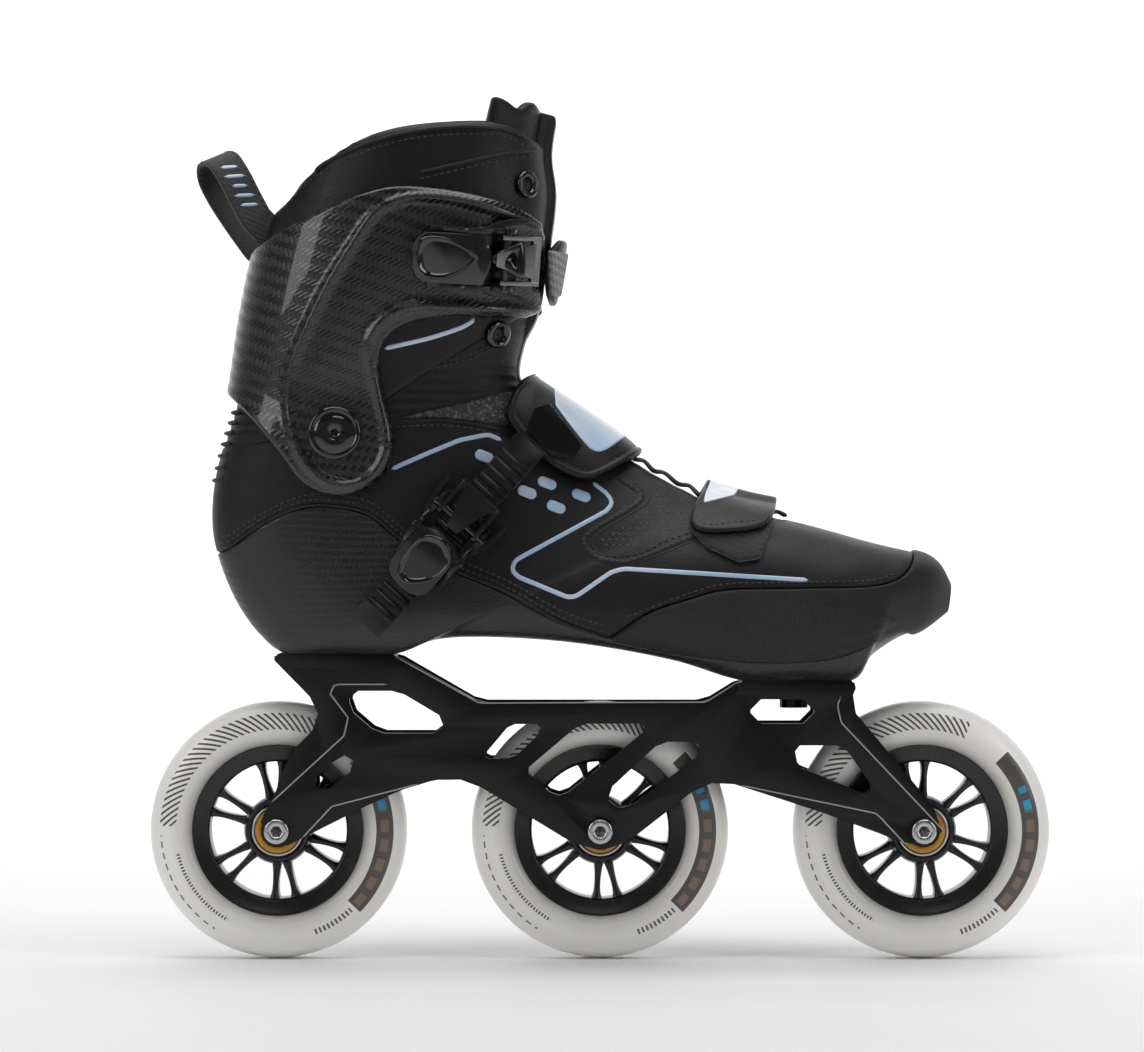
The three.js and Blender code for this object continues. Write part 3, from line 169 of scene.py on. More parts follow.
def rib_loops(t, c):
    """Points of the last at every t and every c. c = 0 is the front, 1 the middle of the back or sole,
    and the sign of c is the side: below 0 is the outer side. Equal steps of c are equal steps along the
    half loop, because each half loop is first made of fine chords and then read off by its length."""
    fine = np.linspace(0, math.pi / 2, 90)
    rib = rib_values(t)[:, None, :]
    widest = rib[..., 6]
    s = np.concatenate([widest * (1 - np.cos(fine)), widest + (1 - widest) * np.sin(fine[1:]),
                        np.ones((len(t), 1))], axis=1)
    y = half_width(rib, s)
    y[:, -1] = 0
    front, back = rib[:, 0, 0:2], rib[:, 0, 2:4]
    length = np.linalg.norm(back - front, axis=1)
    walk = np.hypot(np.diff(s, axis=1) * length[:, None], np.diff(y, axis=1))
    walk = np.concatenate([np.zeros((len(t), 1)), np.cumsum(walk, axis=1)], axis=1)
    at = np.abs(c)[None, :] * walk[:, -1:]
    s_at = np.stack([np.interp(at[k], walk[k], s[k]) for k in range(len(t))])
    y_at = np.stack([np.interp(at[k], walk[k], y[k]) for k in range(len(t))])
    xz = front[:, None, :] + (back - front)[:, None, :] * s_at[..., None]
    points = np.stack([xz[..., 0], y_at * np.where(c < 0, -1, 1)[None, :], xz[..., 1]], axis=-1)
    return points, at


def normals_of(points, closed=False):
    """Unit normals of a grid of points: the cross product of its two directions, by central differences."""
    along = np.gradient(points, axis=0)
    if closed:
        around = (np.roll(points, -1, axis=1) - np.roll(points, 1, axis=1)) / 2
    else:
        around = np.gradient(points, axis=1)
    normal = np.cross(around, along)
    length = np.linalg.norm(normal, axis=-1, keepdims=True)
    return normal / np.maximum(length, 1e-12)


class Grid:
    """A grid of points with their outward normals and their places in metres on the surface."""

    def __init__(self, points, normals, uv, closed=False):
        self.points, self.normals, self.uv, self.closed = points, normals, uv, closed


def last_grid(t0=0.0, t1=LAST_RIB, rows=400, c0=-1.0, c1=1.0, columns=280):
    """The last between two values of t and two of c. Over the whole of c the grid closes on itself."""
    closed = c1 - c0 >= 2
    t = np.linspace(t0, t1, rows)
    c = np.linspace(c0, c1, columns, endpoint=not closed)
    points, around = rib_loops(t, c)
    normals = normals_of(points, closed)
    lift = np.linalg.norm(np.diff(points, axis=0), axis=-1).mean(axis=1)
    v = np.concatenate([[0], np.cumsum(lift)])
    uv = np.stack([around * np.sign(c)[None, :], np.broadcast_to(v[:, None], around.shape)], axis=-1)
    outward = np.sign(np.sum(normals[..., 1] * points[..., 1]))
    return Grid(points, normals * outward, uv, closed)


whole = last_grid()
print("last:", whole.points.shape, "from", whole.points.min((0, 1)).round(3), "to",
      whole.points.max((0, 1)).round(3))

# %% [markdown]
# ## Cutting panels out of the last
# A panel of a boot is cut from a flat pattern along a smooth line. Here the line is given in the side view,
# and the distance of every grid point to it says which points belong to the panel. The grid's squares that
# the line crosses are trimmed exactly on the line, as marching squares does. The distance is then used once
# more: it shapes the panel's thickness, so that an edge can be rounded, padded or rolled. Each panel gets an
# inner face too and a rim that joins the two, so it is a closed solid.

# %% Outlines and distances
FAR = 0.6


def rounded(outline, passes=3):
    """Cuts the corners of a closed outline: each pass puts two points on every side, at a quarter and at
    three quarters of it."""
    points = np.asarray(outline, float) * MM
    for _ in range(passes):
        ahead = np.roll(points, -1, axis=0)
        pairs = [points * 0.75 + ahead * 0.25, points * 0.25 + ahead * 0.75]
        points = np.stack(pairs, axis=1).reshape(-1, 2)
    return points


def smooth_line(line, steps=8):
    """A Catmull-Rom curve through the points of an open line, in metres."""
    points = np.asarray(line, float) * MM
    padded_line = np.vstack([2 * points[0] - points[1], points, 2 * points[-1] - points[-2]])
    f = np.linspace(0, 1, steps, endpoint=False)[None, :, None]
    p0, p1, p2, p3 = (padded_line[k:len(padded_line) - 3 + k, None, :] for k in range(4))
    curve = 0.5 * (2 * p1 + (p2 - p0) * f + (2 * p0 - 5 * p1 + 4 * p2 - p3) * f**2
                   + (3 * p1 - p0 - 3 * p2 + p3) * f**3)
    return np.vstack([curve.reshape(-1, points.shape[1]), points[-1:]])


def inside_distance(xz, outline):
    """Signed distance to a closed outline, above 0 inside it: the least distance to any side, with its
    sign from counting how many sides a ray to the right crosses."""
    flat = xz.reshape(-1, 2)
    a, b = outline, np.roll(outline, -1, axis=0)
    best = np.full(len(flat), 1e9)
    crossings = np.zeros(len(flat), int)
    for p, q in zip(a, b):
        side = q - p
        share = np.clip(((flat - p) @ side) / max(side @ side, 1e-18), 0, 1)
        best = np.minimum(best, np.linalg.norm(flat - p - share[:, None] * side, axis=1))
        spans = (p[1] > flat[:, 1]) != (q[1] > flat[:, 1])
        height = q[1] - p[1] if q[1] != p[1] else 1e-18
        crossings += spans & (flat[:, 0] < p[0] + (flat[:, 1] - p[1]) / height * side[0])
    return (np.where(crossings % 2, best, -best)).reshape(xz.shape[:-1])


def side_xz(points):
    """The side view of some points: their x and z."""
    return points[..., [0, 2]]


def below_line(points, line):
    """Signed distance under an open line in the side view that runs from the heel to the toe."""
    closing = np.array([[FAR, line[-1][1]], [FAR, -FAR], [-FAR, -FAR], [-FAR, line[0][1]]])
    return inside_distance(side_xz(points), np.vstack([line, closing]))


# %% From a grid to a solid
def crossing_share(d0, d1):
    """Where, from 0 to 1, a value that is d0 at one end and d1 at the other is zero."""
    return d0 / np.where(d0 == d1, 1, d0 - d1)


def cut_grid(grid, distance):
    """Marching squares: keeps the grid where distance is above 0. Returns the kept grid's points, normals,
    uv and distance as flat arrays, and its faces as a list of corners with a start for each face."""
    rows, columns = distance.shape
    inside = distance > 0
    values = np.concatenate([grid.points, grid.normals, grid.uv, distance[..., None]], axis=-1)
    last_column = columns if grid.closed else columns - 1
    j = np.arange(last_column)
    ahead = (j + 1) % columns
    number = np.where(inside, np.cumsum(inside).reshape(rows, columns) - 1, -1)
    kept = [values[inside]]
    count = len(kept[0])

    def crossings(v0, v1, in0, in1):
        nonlocal count
        cut = in0 != in1
        share = crossing_share(v0[..., -1], v1[..., -1])[..., None]
        middle = v0 + (v1 - v0) * share
        ids = np.where(cut, np.cumsum(cut).reshape(cut.shape) - 1 + count, -1)
        kept.append(middle[cut])
        count += int(cut.sum())
        return ids

    across = crossings(values[:, j], values[:, ahead], inside[:, j], inside[:, ahead])
    upward = crossings(values[:-1], values[1:], inside[:-1], inside[1:])
    slots = np.stack([
        number[:-1][:, j], across[:-1], number[:-1][:, ahead], upward[:, ahead],
        number[1:][:, ahead], across[1:], number[1:][:, j], upward[:, j],
    ], axis=-1).reshape(-1, 8)
    corners = (slots >= 0).sum(axis=1)
    slots, corners = slots[corners > 2], corners[corners > 2]
    table = np.vstack(kept)
    table[:, 3:6] /= np.maximum(np.linalg.norm(table[:, 3:6], axis=1, keepdims=True), 1e-12)
    starts = np.concatenate([[0], np.cumsum(corners)[:-1]])
    return table, slots[slots >= 0], starts, corners


def mesh_object(name, points, loops, starts, uv=None, fields=None):
    """An object from arrays of points and of face corners, with a UV map in metres and named fields."""
    mesh = bpy.data.meshes.new(name)
    mesh.vertices.add(len(points))
    mesh.vertices.foreach_set("co", np.asarray(points, np.float32).ravel())
    mesh.loops.add(len(loops))
    mesh.loops.foreach_set("vertex_index", np.asarray(loops, np.int32))
    mesh.polygons.add(len(starts))
    mesh.polygons.foreach_set("loop_start", np.asarray(starts, np.int32))
    mesh.update(calc_edges=True)
    mesh.validate()
    if uv is not None and len(mesh.loops) == len(loops):
        layer = mesh.uv_layers.new(name="Surface")
        layer.data.foreach_set("uv", np.asarray(uv, np.float32)[loops].ravel())
    for field, values in (fields or {}).items():
        if len(mesh.vertices) == len(values):
            stored = mesh.attributes.new(field, "FLOAT", "POINT")
            stored.data.foreach_set("value", np.asarray(values, np.float32))
    mesh.shade_smooth()
    obj = bpy.data.objects.new(name, mesh)
    bpy.context.scene.collection.objects.link(obj)
    return obj


def closed_panel(name, grid, distance, outer, inner):
    """A panel cut from a grid, as a closed solid. outer and inner give the height of its two faces over
    the grid, from the distance to the panel's edge; a rim joins them along the edge."""
    table, loops, starts, corners = cut_grid(grid, distance)
    points, normals, uv, edge = table[:, 0:3], table[:, 3:6], table[:, 6:8], table[:, 8]
    n = len(points)
    face_of = np.repeat(np.arange(len(starts)), corners)
    place = np.arange(len(loops)) - starts[face_of]
    ahead = loops[starts[face_of] + (place + 1) % corners[face_of]]
    flipped = loops[starts[face_of] + (corners[face_of] - 1 - place)]
    keys = loops.astype(np.int64) * n + ahead
    edge_pairs = np.isin(keys, ahead.astype(np.int64) * n + loops, invert=True)
    a, b = loops[edge_pairs], ahead[edge_pairs]
    rim = np.stack([b, a, a + n, b + n], axis=1)
    top = points + normals * np.asarray(outer(table))[:, None]
    bottom = points + normals * np.asarray(inner(table))[:, None]
    first = loops[starts[0]:starts[0] + 3]
    facing = np.dot(np.cross(top[first[1]] - top[first[0]], top[first[2]] - top[first[0]]),
                    normals[first[0]])
    all_loops = np.concatenate([loops, flipped + n, rim.ravel()])
    all_starts = np.concatenate([starts, starts + len(loops), 2 * len(loops) + 4 * np.arange(len(rim))])
    if facing < 0:
        totals = np.concatenate([corners, corners, np.full(len(rim), 4)])
        owner = np.repeat(np.arange(len(all_starts)), totals)
        spot = np.arange(len(all_loops)) - all_starts[owner]
        all_loops = all_loops[all_starts[owner] + totals[owner] - 1 - spot]
    return mesh_object(name, np.vstack([top, bottom]), all_loops, all_starts, np.vstack([uv, uv]),
                       {"edge": np.concatenate([edge, edge])})


def rounded_edge(height, radius):
    """A face at height whose edge rolls down by radius along a quarter circle."""
    def profile(table):
        d = np.clip(table[:, 8], 0, radius)
        return height - radius + np.sqrt(np.maximum(radius**2 - (radius - d) ** 2, 0))
    return profile


def level(height):
    """A face at one height over the grid."""
    return lambda table: np.full(len(table), height)


# %% Tubes and turned pieces
def frames_along(path, out):
    """Tangents of a path, its outward directions made square to them, and the third directions."""
    tangent = np.gradient(path, axis=0)
    tangent /= np.maximum(np.linalg.norm(tangent, axis=1, keepdims=True), 1e-12)
    out = out - np.sum(out * tangent, axis=1, keepdims=True) * tangent
    out /= np.maximum(np.linalg.norm(out, axis=1, keepdims=True), 1e-12)
    return tangent, out, np.cross(tangent, out)


def grid_faces(rows, columns, wrap_rows=False):
    """Corners of the four-sided faces of a grid of rows x columns points. Its columns join round, and its
    rows do where asked."""
    i = np.arange(rows if wrap_rows else rows - 1)[:, None]
    j = np.arange(columns)[None, :]
    down, right = (i + 1) % rows, (j + 1) % columns
    quads = np.stack([i * columns + j, i * columns + right, down * columns + right, down * columns + j],
                     axis=-1)
    return quads.reshape(-1, 4)


def outward(points, quads):
    """The quads turned so that their solid has a volume above 0."""
    a, b, c, d = (points[quads[:, k]] for k in range(4))
    volume = np.sum(a * np.cross(b, c)) + np.sum(a * np.cross(c, d))
    return quads if volume > 0 else quads[:, ::-1]


def quad_mesh(name, points, quads, uv=None):
    """An object from points and four-cornered faces, turned outwards."""
    quads = outward(points, quads)
    return mesh_object(name, points, quads.ravel(), 4 * np.arange(len(quads)), uv)


def tube_points(path, out, wide, thick, sides=10, closed=False, power=2.0, blunt=False):
    """A profile carried along a path: a superellipse, wide across the path and thick along the outward
    directions. An open tube shrinks over its last steps to a rounded end."""
    tangent, out, across = frames_along(path, out)
    turn = np.linspace(0, 2 * math.pi, sides, endpoint=False)
    c = np.sign(np.cos(turn)) * np.abs(np.cos(turn)) ** (2 / power)
    s = np.sign(np.sin(turn)) * np.abs(np.sin(turn)) ** (2 / power)
    size = np.ones(len(path))
    if not closed:
        walk = np.concatenate([[0], np.cumsum(np.linalg.norm(np.diff(path, axis=0), axis=1))])
        reach = np.minimum(walk, walk[-1] - walk) / max(np.max(thick if blunt else wide), 1e-9)
        size = np.sqrt(1 - (1 - np.clip(reach, 0, 1)) ** 2) + 1e-4
    wide = np.broadcast_to(wide, len(path)) * size
    thick = np.broadcast_to(thick, len(path)) * np.maximum(size, 0.35)
    return (path[:, None] + across[:, None] * (c * wide[:, None])[..., None]
            + out[:, None] * (s * thick[:, None])[..., None])


def tube(name, path, out, wide, thick=None, sides=10, power=2.0, blunt=False):
    """A tube along a path, with a cap on each end. Its UV map is in metres, round and along it."""
    path = np.asarray(path, float)
    reach = [path[0] - (path[1] - path[0]) * 1e-3, path[-1] + (path[-1] - path[-2]) * 1e-3]
    path = np.vstack([reach[0], path, reach[1]])
    out = np.vstack([out[:1], out, out[-1:]])
    points = tube_points(path, out, wide, wide if thick is None else thick, sides, False, power, blunt)
    rows, columns = points.shape[:2]
    walk = np.concatenate([[0], np.cumsum(np.linalg.norm(np.diff(path, axis=0), axis=1))])
    round_it = np.linspace(0, 1, columns)[None] * np.max(wide) * 6
    uv = np.stack(np.broadcast_arrays(round_it, walk[:, None]), -1)
    quads = grid_faces(rows, columns)
    ends = np.array([points[0].mean(0), points[-1].mean(0)])
    flat, flat_uv = points.reshape(-1, 3), uv.reshape(-1, 2)
    first, last = len(flat), len(flat) + 1
    j = np.arange(columns)
    ahead = (j + 1) % columns
    base = (rows - 1) * columns
    caps = np.concatenate([np.stack([ahead, j, np.full(columns, first)], 1),
                           np.stack([base + j, base + ahead, np.full(columns, last)], 1)])
    flat, flat_uv = np.vstack([flat, ends]), np.vstack([flat_uv, flat_uv[:1], flat_uv[-1:]])
    turned_out = outward(flat, quads)
    if turned_out is not quads:
        quads, caps = turned_out, caps[:, ::-1]
    loops = np.concatenate([quads.ravel(), caps.ravel()])
    starts = np.concatenate([4 * np.arange(len(quads)), quads.size + 3 * np.arange(len(caps))])
    return mesh_object(name, flat, loops, starts, flat_uv)


def turned(name, profile, x, z, segments=128, hex_rows=()):
    """A closed profile of (radius, y) turned about the line along Y through (x, z), all in millimetres.
    Rows in hex_rows are six-sided: their radius is divided by the cosine of the way to the next flat."""
    profile = np.asarray(profile, float) * MM
    turn = np.linspace(0, 2 * math.pi, segments, endpoint=False)
    radius = np.broadcast_to(profile[:, :1], (len(profile), segments)).copy()
    flat = np.cos(math.pi / 6) / np.cos((turn % (math.pi / 3)) - math.pi / 6)
    for row in hex_rows:
        radius[row] *= flat
    spot = np.stack([radius * np.cos(turn), np.broadcast_to(profile[:, 1:], radius.shape),
                     radius * np.sin(turn)], -1)
    points = spot + np.array([x, 0, z]) * MM
    uv = np.stack([radius * turn, np.broadcast_to(profile[:, 1:], radius.shape)], -1)
    obj = quad_mesh(name, points.reshape(-1, 3), grid_faces(len(profile), segments, wrap_rows=True),
                    uv.reshape(-1, 2))
    data = obj.data.attributes.new("spot", "FLOAT_VECTOR", "POINT").data
    data.foreach_set("vector", spot[..., [0, 2, 1]].astype(np.float32).ravel())
    return obj


# %% Places on the side of the boot
def reach_of(xz, offset=0.0):
    """Half width of the last over side-view points: the share of the way along the rib line that passes
    through each point. The line is found where the cross product of rib and point changes its sign."""
    t = np.linspace(0, LAST_RIB, 900)
    rib = rib_values(t)
    front, span = rib[:, 0:2], rib[:, 2:4] - rib[:, 0:2]
    rel = xz[:, None] - front[None]
    side = span[None, :, 0] * rel[..., 1] - span[None, :, 1] * rel[..., 0]
    share = np.sum(rel * span[None], axis=2) / np.sum(span**2, axis=1)[None]
    good = (side[:, :-1] * side[:, 1:] <= 0) & (share[:, :-1] > -0.05) & (share[:, :-1] < 1.05)
    k = np.argmax(good, axis=1)
    row = np.arange(len(xz))
    f = side[row, k] / np.where(side[row, k] == side[row, k + 1], 1, side[row, k] - side[row, k + 1])
    at = t[k] + f * (t[1] - t[0])
    values = rib_values(at)
    span_at = values[:, 2:4] - values[:, 0:2]
    s = np.sum((xz - values[:, 0:2]) * span_at, axis=1) / np.sum(span_at**2, axis=1)
    return half_width(values, np.clip(s, 0.002, 0.998)) + offset


def on_side(xz, side=-1, offset=0.0):
    """Points and outward normals of the boot's surface at side-view points, side -1 outer and +1 inner.
    The normal comes from how the half width changes in x and in z."""
    xz = np.asarray(xz, float)
    step = 1.5 * MM
    width = reach_of(xz)
    slope_x = (reach_of(xz + [step, 0]) - reach_of(xz - [step, 0])) / (2 * step)
    slope_z = (reach_of(xz + [0, step]) - reach_of(xz - [0, step])) / (2 * step)
    normal = np.stack([-slope_x, np.full(len(xz), float(side)), -slope_z], axis=1)
    normal /= np.linalg.norm(normal, axis=1, keepdims=True)
    point = np.stack([xz[:, 0], side * width, xz[:, 1]], axis=1)
    return point + normal * offset, normal


def even_steps(path, step):
    """The path read off at equal steps, and the length of it."""
    walk = np.concatenate([[0], np.cumsum(np.linalg.norm(np.diff(path, axis=0), axis=1))])
    at = np.linspace(0, walk[-1], max(int(walk[-1] / step), 2))
    return np.stack([np.interp(at, walk, path[:, k]) for k in range(path.shape[1])], axis=1), walk[-1]


def bead(name, line, side=-1, wide=1.0, thick=None, offset=0.0, step=1.5):
    """A tube that lies on the boot's side along a side-view line, in millimetres."""
    curve = smooth_line(line)
    curve, _ = even_steps(curve, step * MM)
    points, normals = on_side(curve, side, offset * MM)
    return tube(name, points, normals, wide * MM, None if thick is None else thick * MM)


def seeds(name, centres, along, out, length, radius, height):
    """Many small seed shapes in one mesh: each is an ellipsoid of 6 x 5 points, stretched along its path
    and pressed towards the surface."""
    lat = np.linspace(-math.pi / 2, math.pi / 2, 5)[:, None]
    lon = np.linspace(0, 2 * math.pi, 6, endpoint=False)[None]
    shape = np.stack(np.broadcast_arrays(np.sin(lat) * length, np.cos(lat) * np.cos(lon) * radius,
                                         np.cos(lat) * np.sin(lon) * height), -1).reshape(-1, 3)
    basis = np.stack([along, np.cross(out, along), out], axis=1)
    points = np.einsum("vk,nkc->nvc", shape, basis) + centres[:, None]
    quads = outward(points[0], grid_faces(5, 6))
    count = points.shape[1]
    all_quads = (quads[None] + count * np.arange(len(points))[:, None, None]).reshape(-1, 4)
    return mesh_object(name, points.reshape(-1, 3), all_quads.ravel(), 4 * np.arange(len(all_quads)))


def stitches(name, lines, side=-1, offset=0.15, pitch=2.6, length=1.0, radius=0.33):
    """Rows of stitches along side-view lines."""
    centres, alongs, outs = [], [], []
    for line in lines:
        curve, _ = even_steps(smooth_line(line), pitch * MM)
        points, normals = on_side(curve, side, offset * MM)
        tangent, out, _ = frames_along(points, normals)
        centres.append(points)
        alongs.append(tangent)
        outs.append(out)
    return seeds(name, np.vstack(centres), np.vstack(alongs), np.vstack(outs), length * MM, radius * MM,
                 radius * MM)


def join(name, objs):
    """One mesh object out of several."""
    for other in bpy.context.selected_objects:
        other.select_set(False)
    for obj in objs:
        obj.select_set(True)
    bpy.context.view_layer.objects.active = objs[0]
    bpy.ops.object.join()
    objs[0].name = name
    return objs[0]


# %% [markdown]
# ## Shader groups
# Several finishes share the same small effects. Each effect is a node group with named inputs, so that one
# drawing of a weave or a grain serves every material, at its own scale. A group gives out only heights and
# masks; the shader that uses them stays in the material.

# %% Node helpers
def fill_inputs(tree, made, inputs):
    """Fills a node's inputs with values or links."""
    for key, value in inputs.items():
        if isinstance(value, bpy.types.NodeSocket):
            tree.links.new(value, made.inputs[key])
        else:
            made.inputs[key].default_value = value


def add_node(tree, kind, inputs=None, **settings):
    """Adds a node, sets its settings, and fills its inputs."""
    made = tree.nodes.new(kind)
    for key, value in settings.items():
        setattr(made, key, value)
    fill_inputs(tree, made, inputs or {})
    return made


def calc(tree, operation, *values):
    """The result of a Math node."""
    return add_node(tree, "ShaderNodeMath", dict(enumerate(values)), operation=operation).outputs[0]


def window(tree, value, low, high, soft=0.0):
    """1 where the value is between low and high, 0 elsewhere, with soft edges."""
    if not soft:
        return calc(tree, "MULTIPLY", calc(tree, "GREATER_THAN", value, low),
                    calc(tree, "LESS_THAN", value, high))
    up = add_node(tree, "ShaderNodeMapRange", {0: value, 1: low - soft, 2: low + soft}).outputs[0]
    fall = {0: value, 1: high - soft, 2: high + soft, 3: 1.0, 4: 0.0}
    down = add_node(tree, "ShaderNodeMapRange", fall).outputs[0]
    return calc(tree, "MULTIPLY", up, down)


def shader_group(name, inputs, outputs):
    """An empty node group with its sockets: inputs are (name, type, value), outputs (name, type)."""
    tree = bpy.data.node_groups.new(name, "ShaderNodeTree")
    for label, kind, value in inputs:
        socket = tree.interface.new_socket(label, in_out="INPUT", socket_type="NodeSocket" + kind)
        if value is not None:
            socket.default_value = value
    for label, kind in outputs:
        tree.interface.new_socket(label, in_out="OUTPUT", socket_type="NodeSocket" + kind)
    return tree, tree.nodes.new("NodeGroupInput").outputs, tree.nodes.new("NodeGroupOutput").inputs


# %% Group: leather grain
tree, given, result = shader_group(
    "Leather grain", [("Place", "Vector", None), ("Scale", "Float", 900.0)],
    [("Height", "Float"), ("Tone", "Float")])
pebbles = add_node(tree, "ShaderNodeTexVoronoi", {"Vector": given["Place"], "Scale": given["Scale"]},
                   feature="DISTANCE_TO_EDGE")
fine = add_node(tree, "ShaderNodeTexNoise",
                {"Vector": given["Place"], "Scale": calc(tree, "MULTIPLY", given["Scale"], 2.6),
                 "Detail": 3.0})
broad = add_node(tree, "ShaderNodeTexNoise",
                 {"Vector": given["Place"], "Scale": calc(tree, "MULTIPLY", given["Scale"], 0.03),
                  "Detail": 4.0})
creases = add_node(tree, "ShaderNodeMapRange", {0: pebbles.outputs["Distance"], 2: 0.22}).outputs[0]
tree.links.new(calc(tree, "ADD", creases, calc(tree, "MULTIPLY", fine.outputs[0], 0.5)), result["Height"])
tree.links.new(broad.outputs[0], result["Tone"])
LEATHER_GRAIN = tree

# %% Group: twill weave
# In a two-over-two twill each thread passes over two and under two, one step later in each row. So the
# thread along v is on top where (column - row) modulo 4 is below 2.
tree, given, result = shader_group(
    "Twill weave", [("Place", "Vector", None), ("Thread", "Float", 0.0018)],
    [("Over", "Float"), ("Height", "Float")])
scaled = add_node(tree, "ShaderNodeVectorMath", {0: given["Place"]}, operation="SCALE")
tree.links.new(calc(tree, "DIVIDE", 1.0, given["Thread"]), scaled.inputs["Scale"])
split = add_node(tree, "ShaderNodeSeparateXYZ", {0: scaled.outputs[0]})
column, row = (calc(tree, "FLOOR", split.outputs[k]) for k in (0, 1))
over = calc(tree, "LESS_THAN", calc(tree, "FLOORED_MODULO", calc(tree, "SUBTRACT", column, row), 4.0), 2.0)
crowns = []
for thread_way in (0, 1):
    half_wave = calc(tree, "MULTIPLY", calc(tree, "FRACT", split.outputs[thread_way]), math.pi)
    crowns.append(calc(tree, "SINE", half_wave))
crown = add_node(tree, "ShaderNodeMix", {0: over, 2: crowns[1], 3: crowns[0]}).outputs[0]
tree.links.new(over, result["Over"])
tree.links.new(crown, result["Height"])
TWILL = tree

# %% Group: scuffs
# Fine rubbed marks: a noise stretched along one direction, kept only where a broad noise allows it.
tree, given, result = shader_group(
    "Scuffs", [("Place", "Vector", None), ("Amount", "Float", 0.3), ("Scale", "Float", 300.0)],
    [("Mask", "Float")])
stretched = add_node(tree, "ShaderNodeMapping", {"Vector": given["Place"], "Scale": (0.25, 1.0, 1.6),
                                                 "Rotation": (0.0, 0.5, 0.0)})
lines = add_node(tree, "ShaderNodeTexNoise", {"Vector": stretched.outputs[0], "Scale": given["Scale"],
                                              "Detail": 5.0, "Roughness": 0.7})
patches = add_node(tree, "ShaderNodeTexNoise", {"Vector": given["Place"], "Scale": 28.0, "Detail": 2.0})
sharp = add_node(tree, "ShaderNodeMapRange", {0: lines.outputs[0], 1: 0.56, 2: 0.72}).outputs[0]
where = add_node(tree, "ShaderNodeMapRange", {0: patches.outputs[0], 1: 0.45, 2: 0.65}).outputs[0]
marks = calc(tree, "MULTIPLY", calc(tree, "MULTIPLY", sharp, where), given["Amount"])
tree.links.new(marks, result["Mask"])
SCUFFS = tree
print("shader groups:", [g.name for g in bpy.data.node_groups])


# %% [markdown]
# ## Finishes
# Black is most of this skate, and what tells one black from another is its gloss, its grain and how much
# light its raised threads catch. So each finish below starts from a near-black colour, and differs in
# roughness, in coat and in the height that drives its bump.

# %% Finish helpers
def new_finish(name, colour, roughness, **sockets):
    """A material with its Principled shader, and constants set on the shader's own sockets."""
    material = bpy.data.materials.new(name)
    material.use_nodes = True
    shader = material.node_tree.nodes["Principled BSDF"]
    shader.inputs["Base Color"].default_value = (*colour, 1)
    shader.inputs["Roughness"].default_value = roughness
    for key, value in sockets.items():
        shader.inputs[key.replace("_", " ")].default_value = value
    return material, material.node_tree, shader


def object_place(tree):
    """Object coordinates."""
    return add_node(tree, "ShaderNodeTexCoord").outputs["Object"]


def surface_place(tree):
    """The piece's own map, in metres on its surface."""
    return add_node(tree, "ShaderNodeUVMap", uv_map="Surface").outputs["UV"]


def use_group(tree, group, **inputs):
    """A group node with its inputs filled."""
    made = tree.nodes.new("ShaderNodeGroup")
    made.node_tree = group
    fill_inputs(tree, made, inputs)
    return made.outputs


def tint(tree, shader, mask, low, high):
    """Base colour from low to high by a mask."""
    mix = add_node(tree, "ShaderNodeMix", {0: mask, 6: (*low, 1), 7: (*high, 1)}, data_type="RGBA")
    tree.links.new(mix.outputs[2], shader.inputs["Base Color"])
    return mix.outputs[2]


def gloss(tree, shader, mask, low, high):
    """Roughness from low to high by a mask."""
    tree.links.new(add_node(tree, "ShaderNodeMapRange", {0: mask, 3: low, 4: high}).outputs[0],
                   shader.inputs["Roughness"])


def relief(tree, shader, height, depth, strength=1.0):
    """A bump of the given depth in metres."""
    bump = add_node(tree, "ShaderNodeBump", {"Height": height, "Distance": depth, "Strength": strength})
    tree.links.new(bump.outputs[0], shader.inputs["Normal"])


# %% Black microfibre, lining and padding
def leather(name, dark, light, rough, grain, depth):
    """Grained leather or microfibre: pebbles from the grain group, with a slow change of tone."""
    material, tree, shader = new_finish(name, dark, rough[0], Specular_IOR_Level=0.3)
    out = use_group(tree, LEATHER_GRAIN, Place=object_place(tree), Scale=grain)
    tint(tree, shader, out["Tone"], dark, light)
    scuffs = use_group(tree, SCUFFS, Place=object_place(tree), Amount=0.5, Scale=240.0)
    gloss(tree, shader, calc(tree, "ADD", out["Tone"], calc(tree, "MULTIPLY", scuffs["Mask"], 0.6)), *rough)
    relief(tree, shader, out["Height"], depth)
    return material


MICROFIBRE = leather("microfibre", (0.003, 0.003, 0.0035), (0.007, 0.007, 0.008), (0.34, 0.5), 1100.0,
                     0.00006)
SMOOTH_LEATHER = leather("smooth_leather", (0.0035, 0.0035, 0.004), (0.008, 0.008, 0.009), (0.24, 0.4),
                         1500.0, 0.00004)
PIPING = leather("piping", (0.008, 0.008, 0.009), (0.014, 0.014, 0.015), (0.35, 0.5), 1500.0, 0.00004)


def woven(name, colour, light, thread, depth, rough=0.8, sheen=0.2):
    """Cloth: threads over and under in a twill, on object coordinates turned to the cloth's slope."""
    material, tree, shader = new_finish(name, colour, rough, Sheen_Weight=sheen)
    turned_place = add_node(tree, "ShaderNodeMapping", {"Vector": object_place(tree),
                                                        "Rotation": (math.pi / 2, 0, 0.4)})
    out = use_group(tree, TWILL, Place=turned_place.outputs[0], Thread=thread)
    # Painted highlight and shade: thread crowns are painted lighter, most on the threads on top, and the
    # threads beneath darker.
    tint(tree, shader, calc(tree, "MULTIPLY", out["Height"], calc(tree, "ADD", 0.4, out["Over"])), colour,
         light)
    relief(tree, shader, out["Height"], depth)
    return material


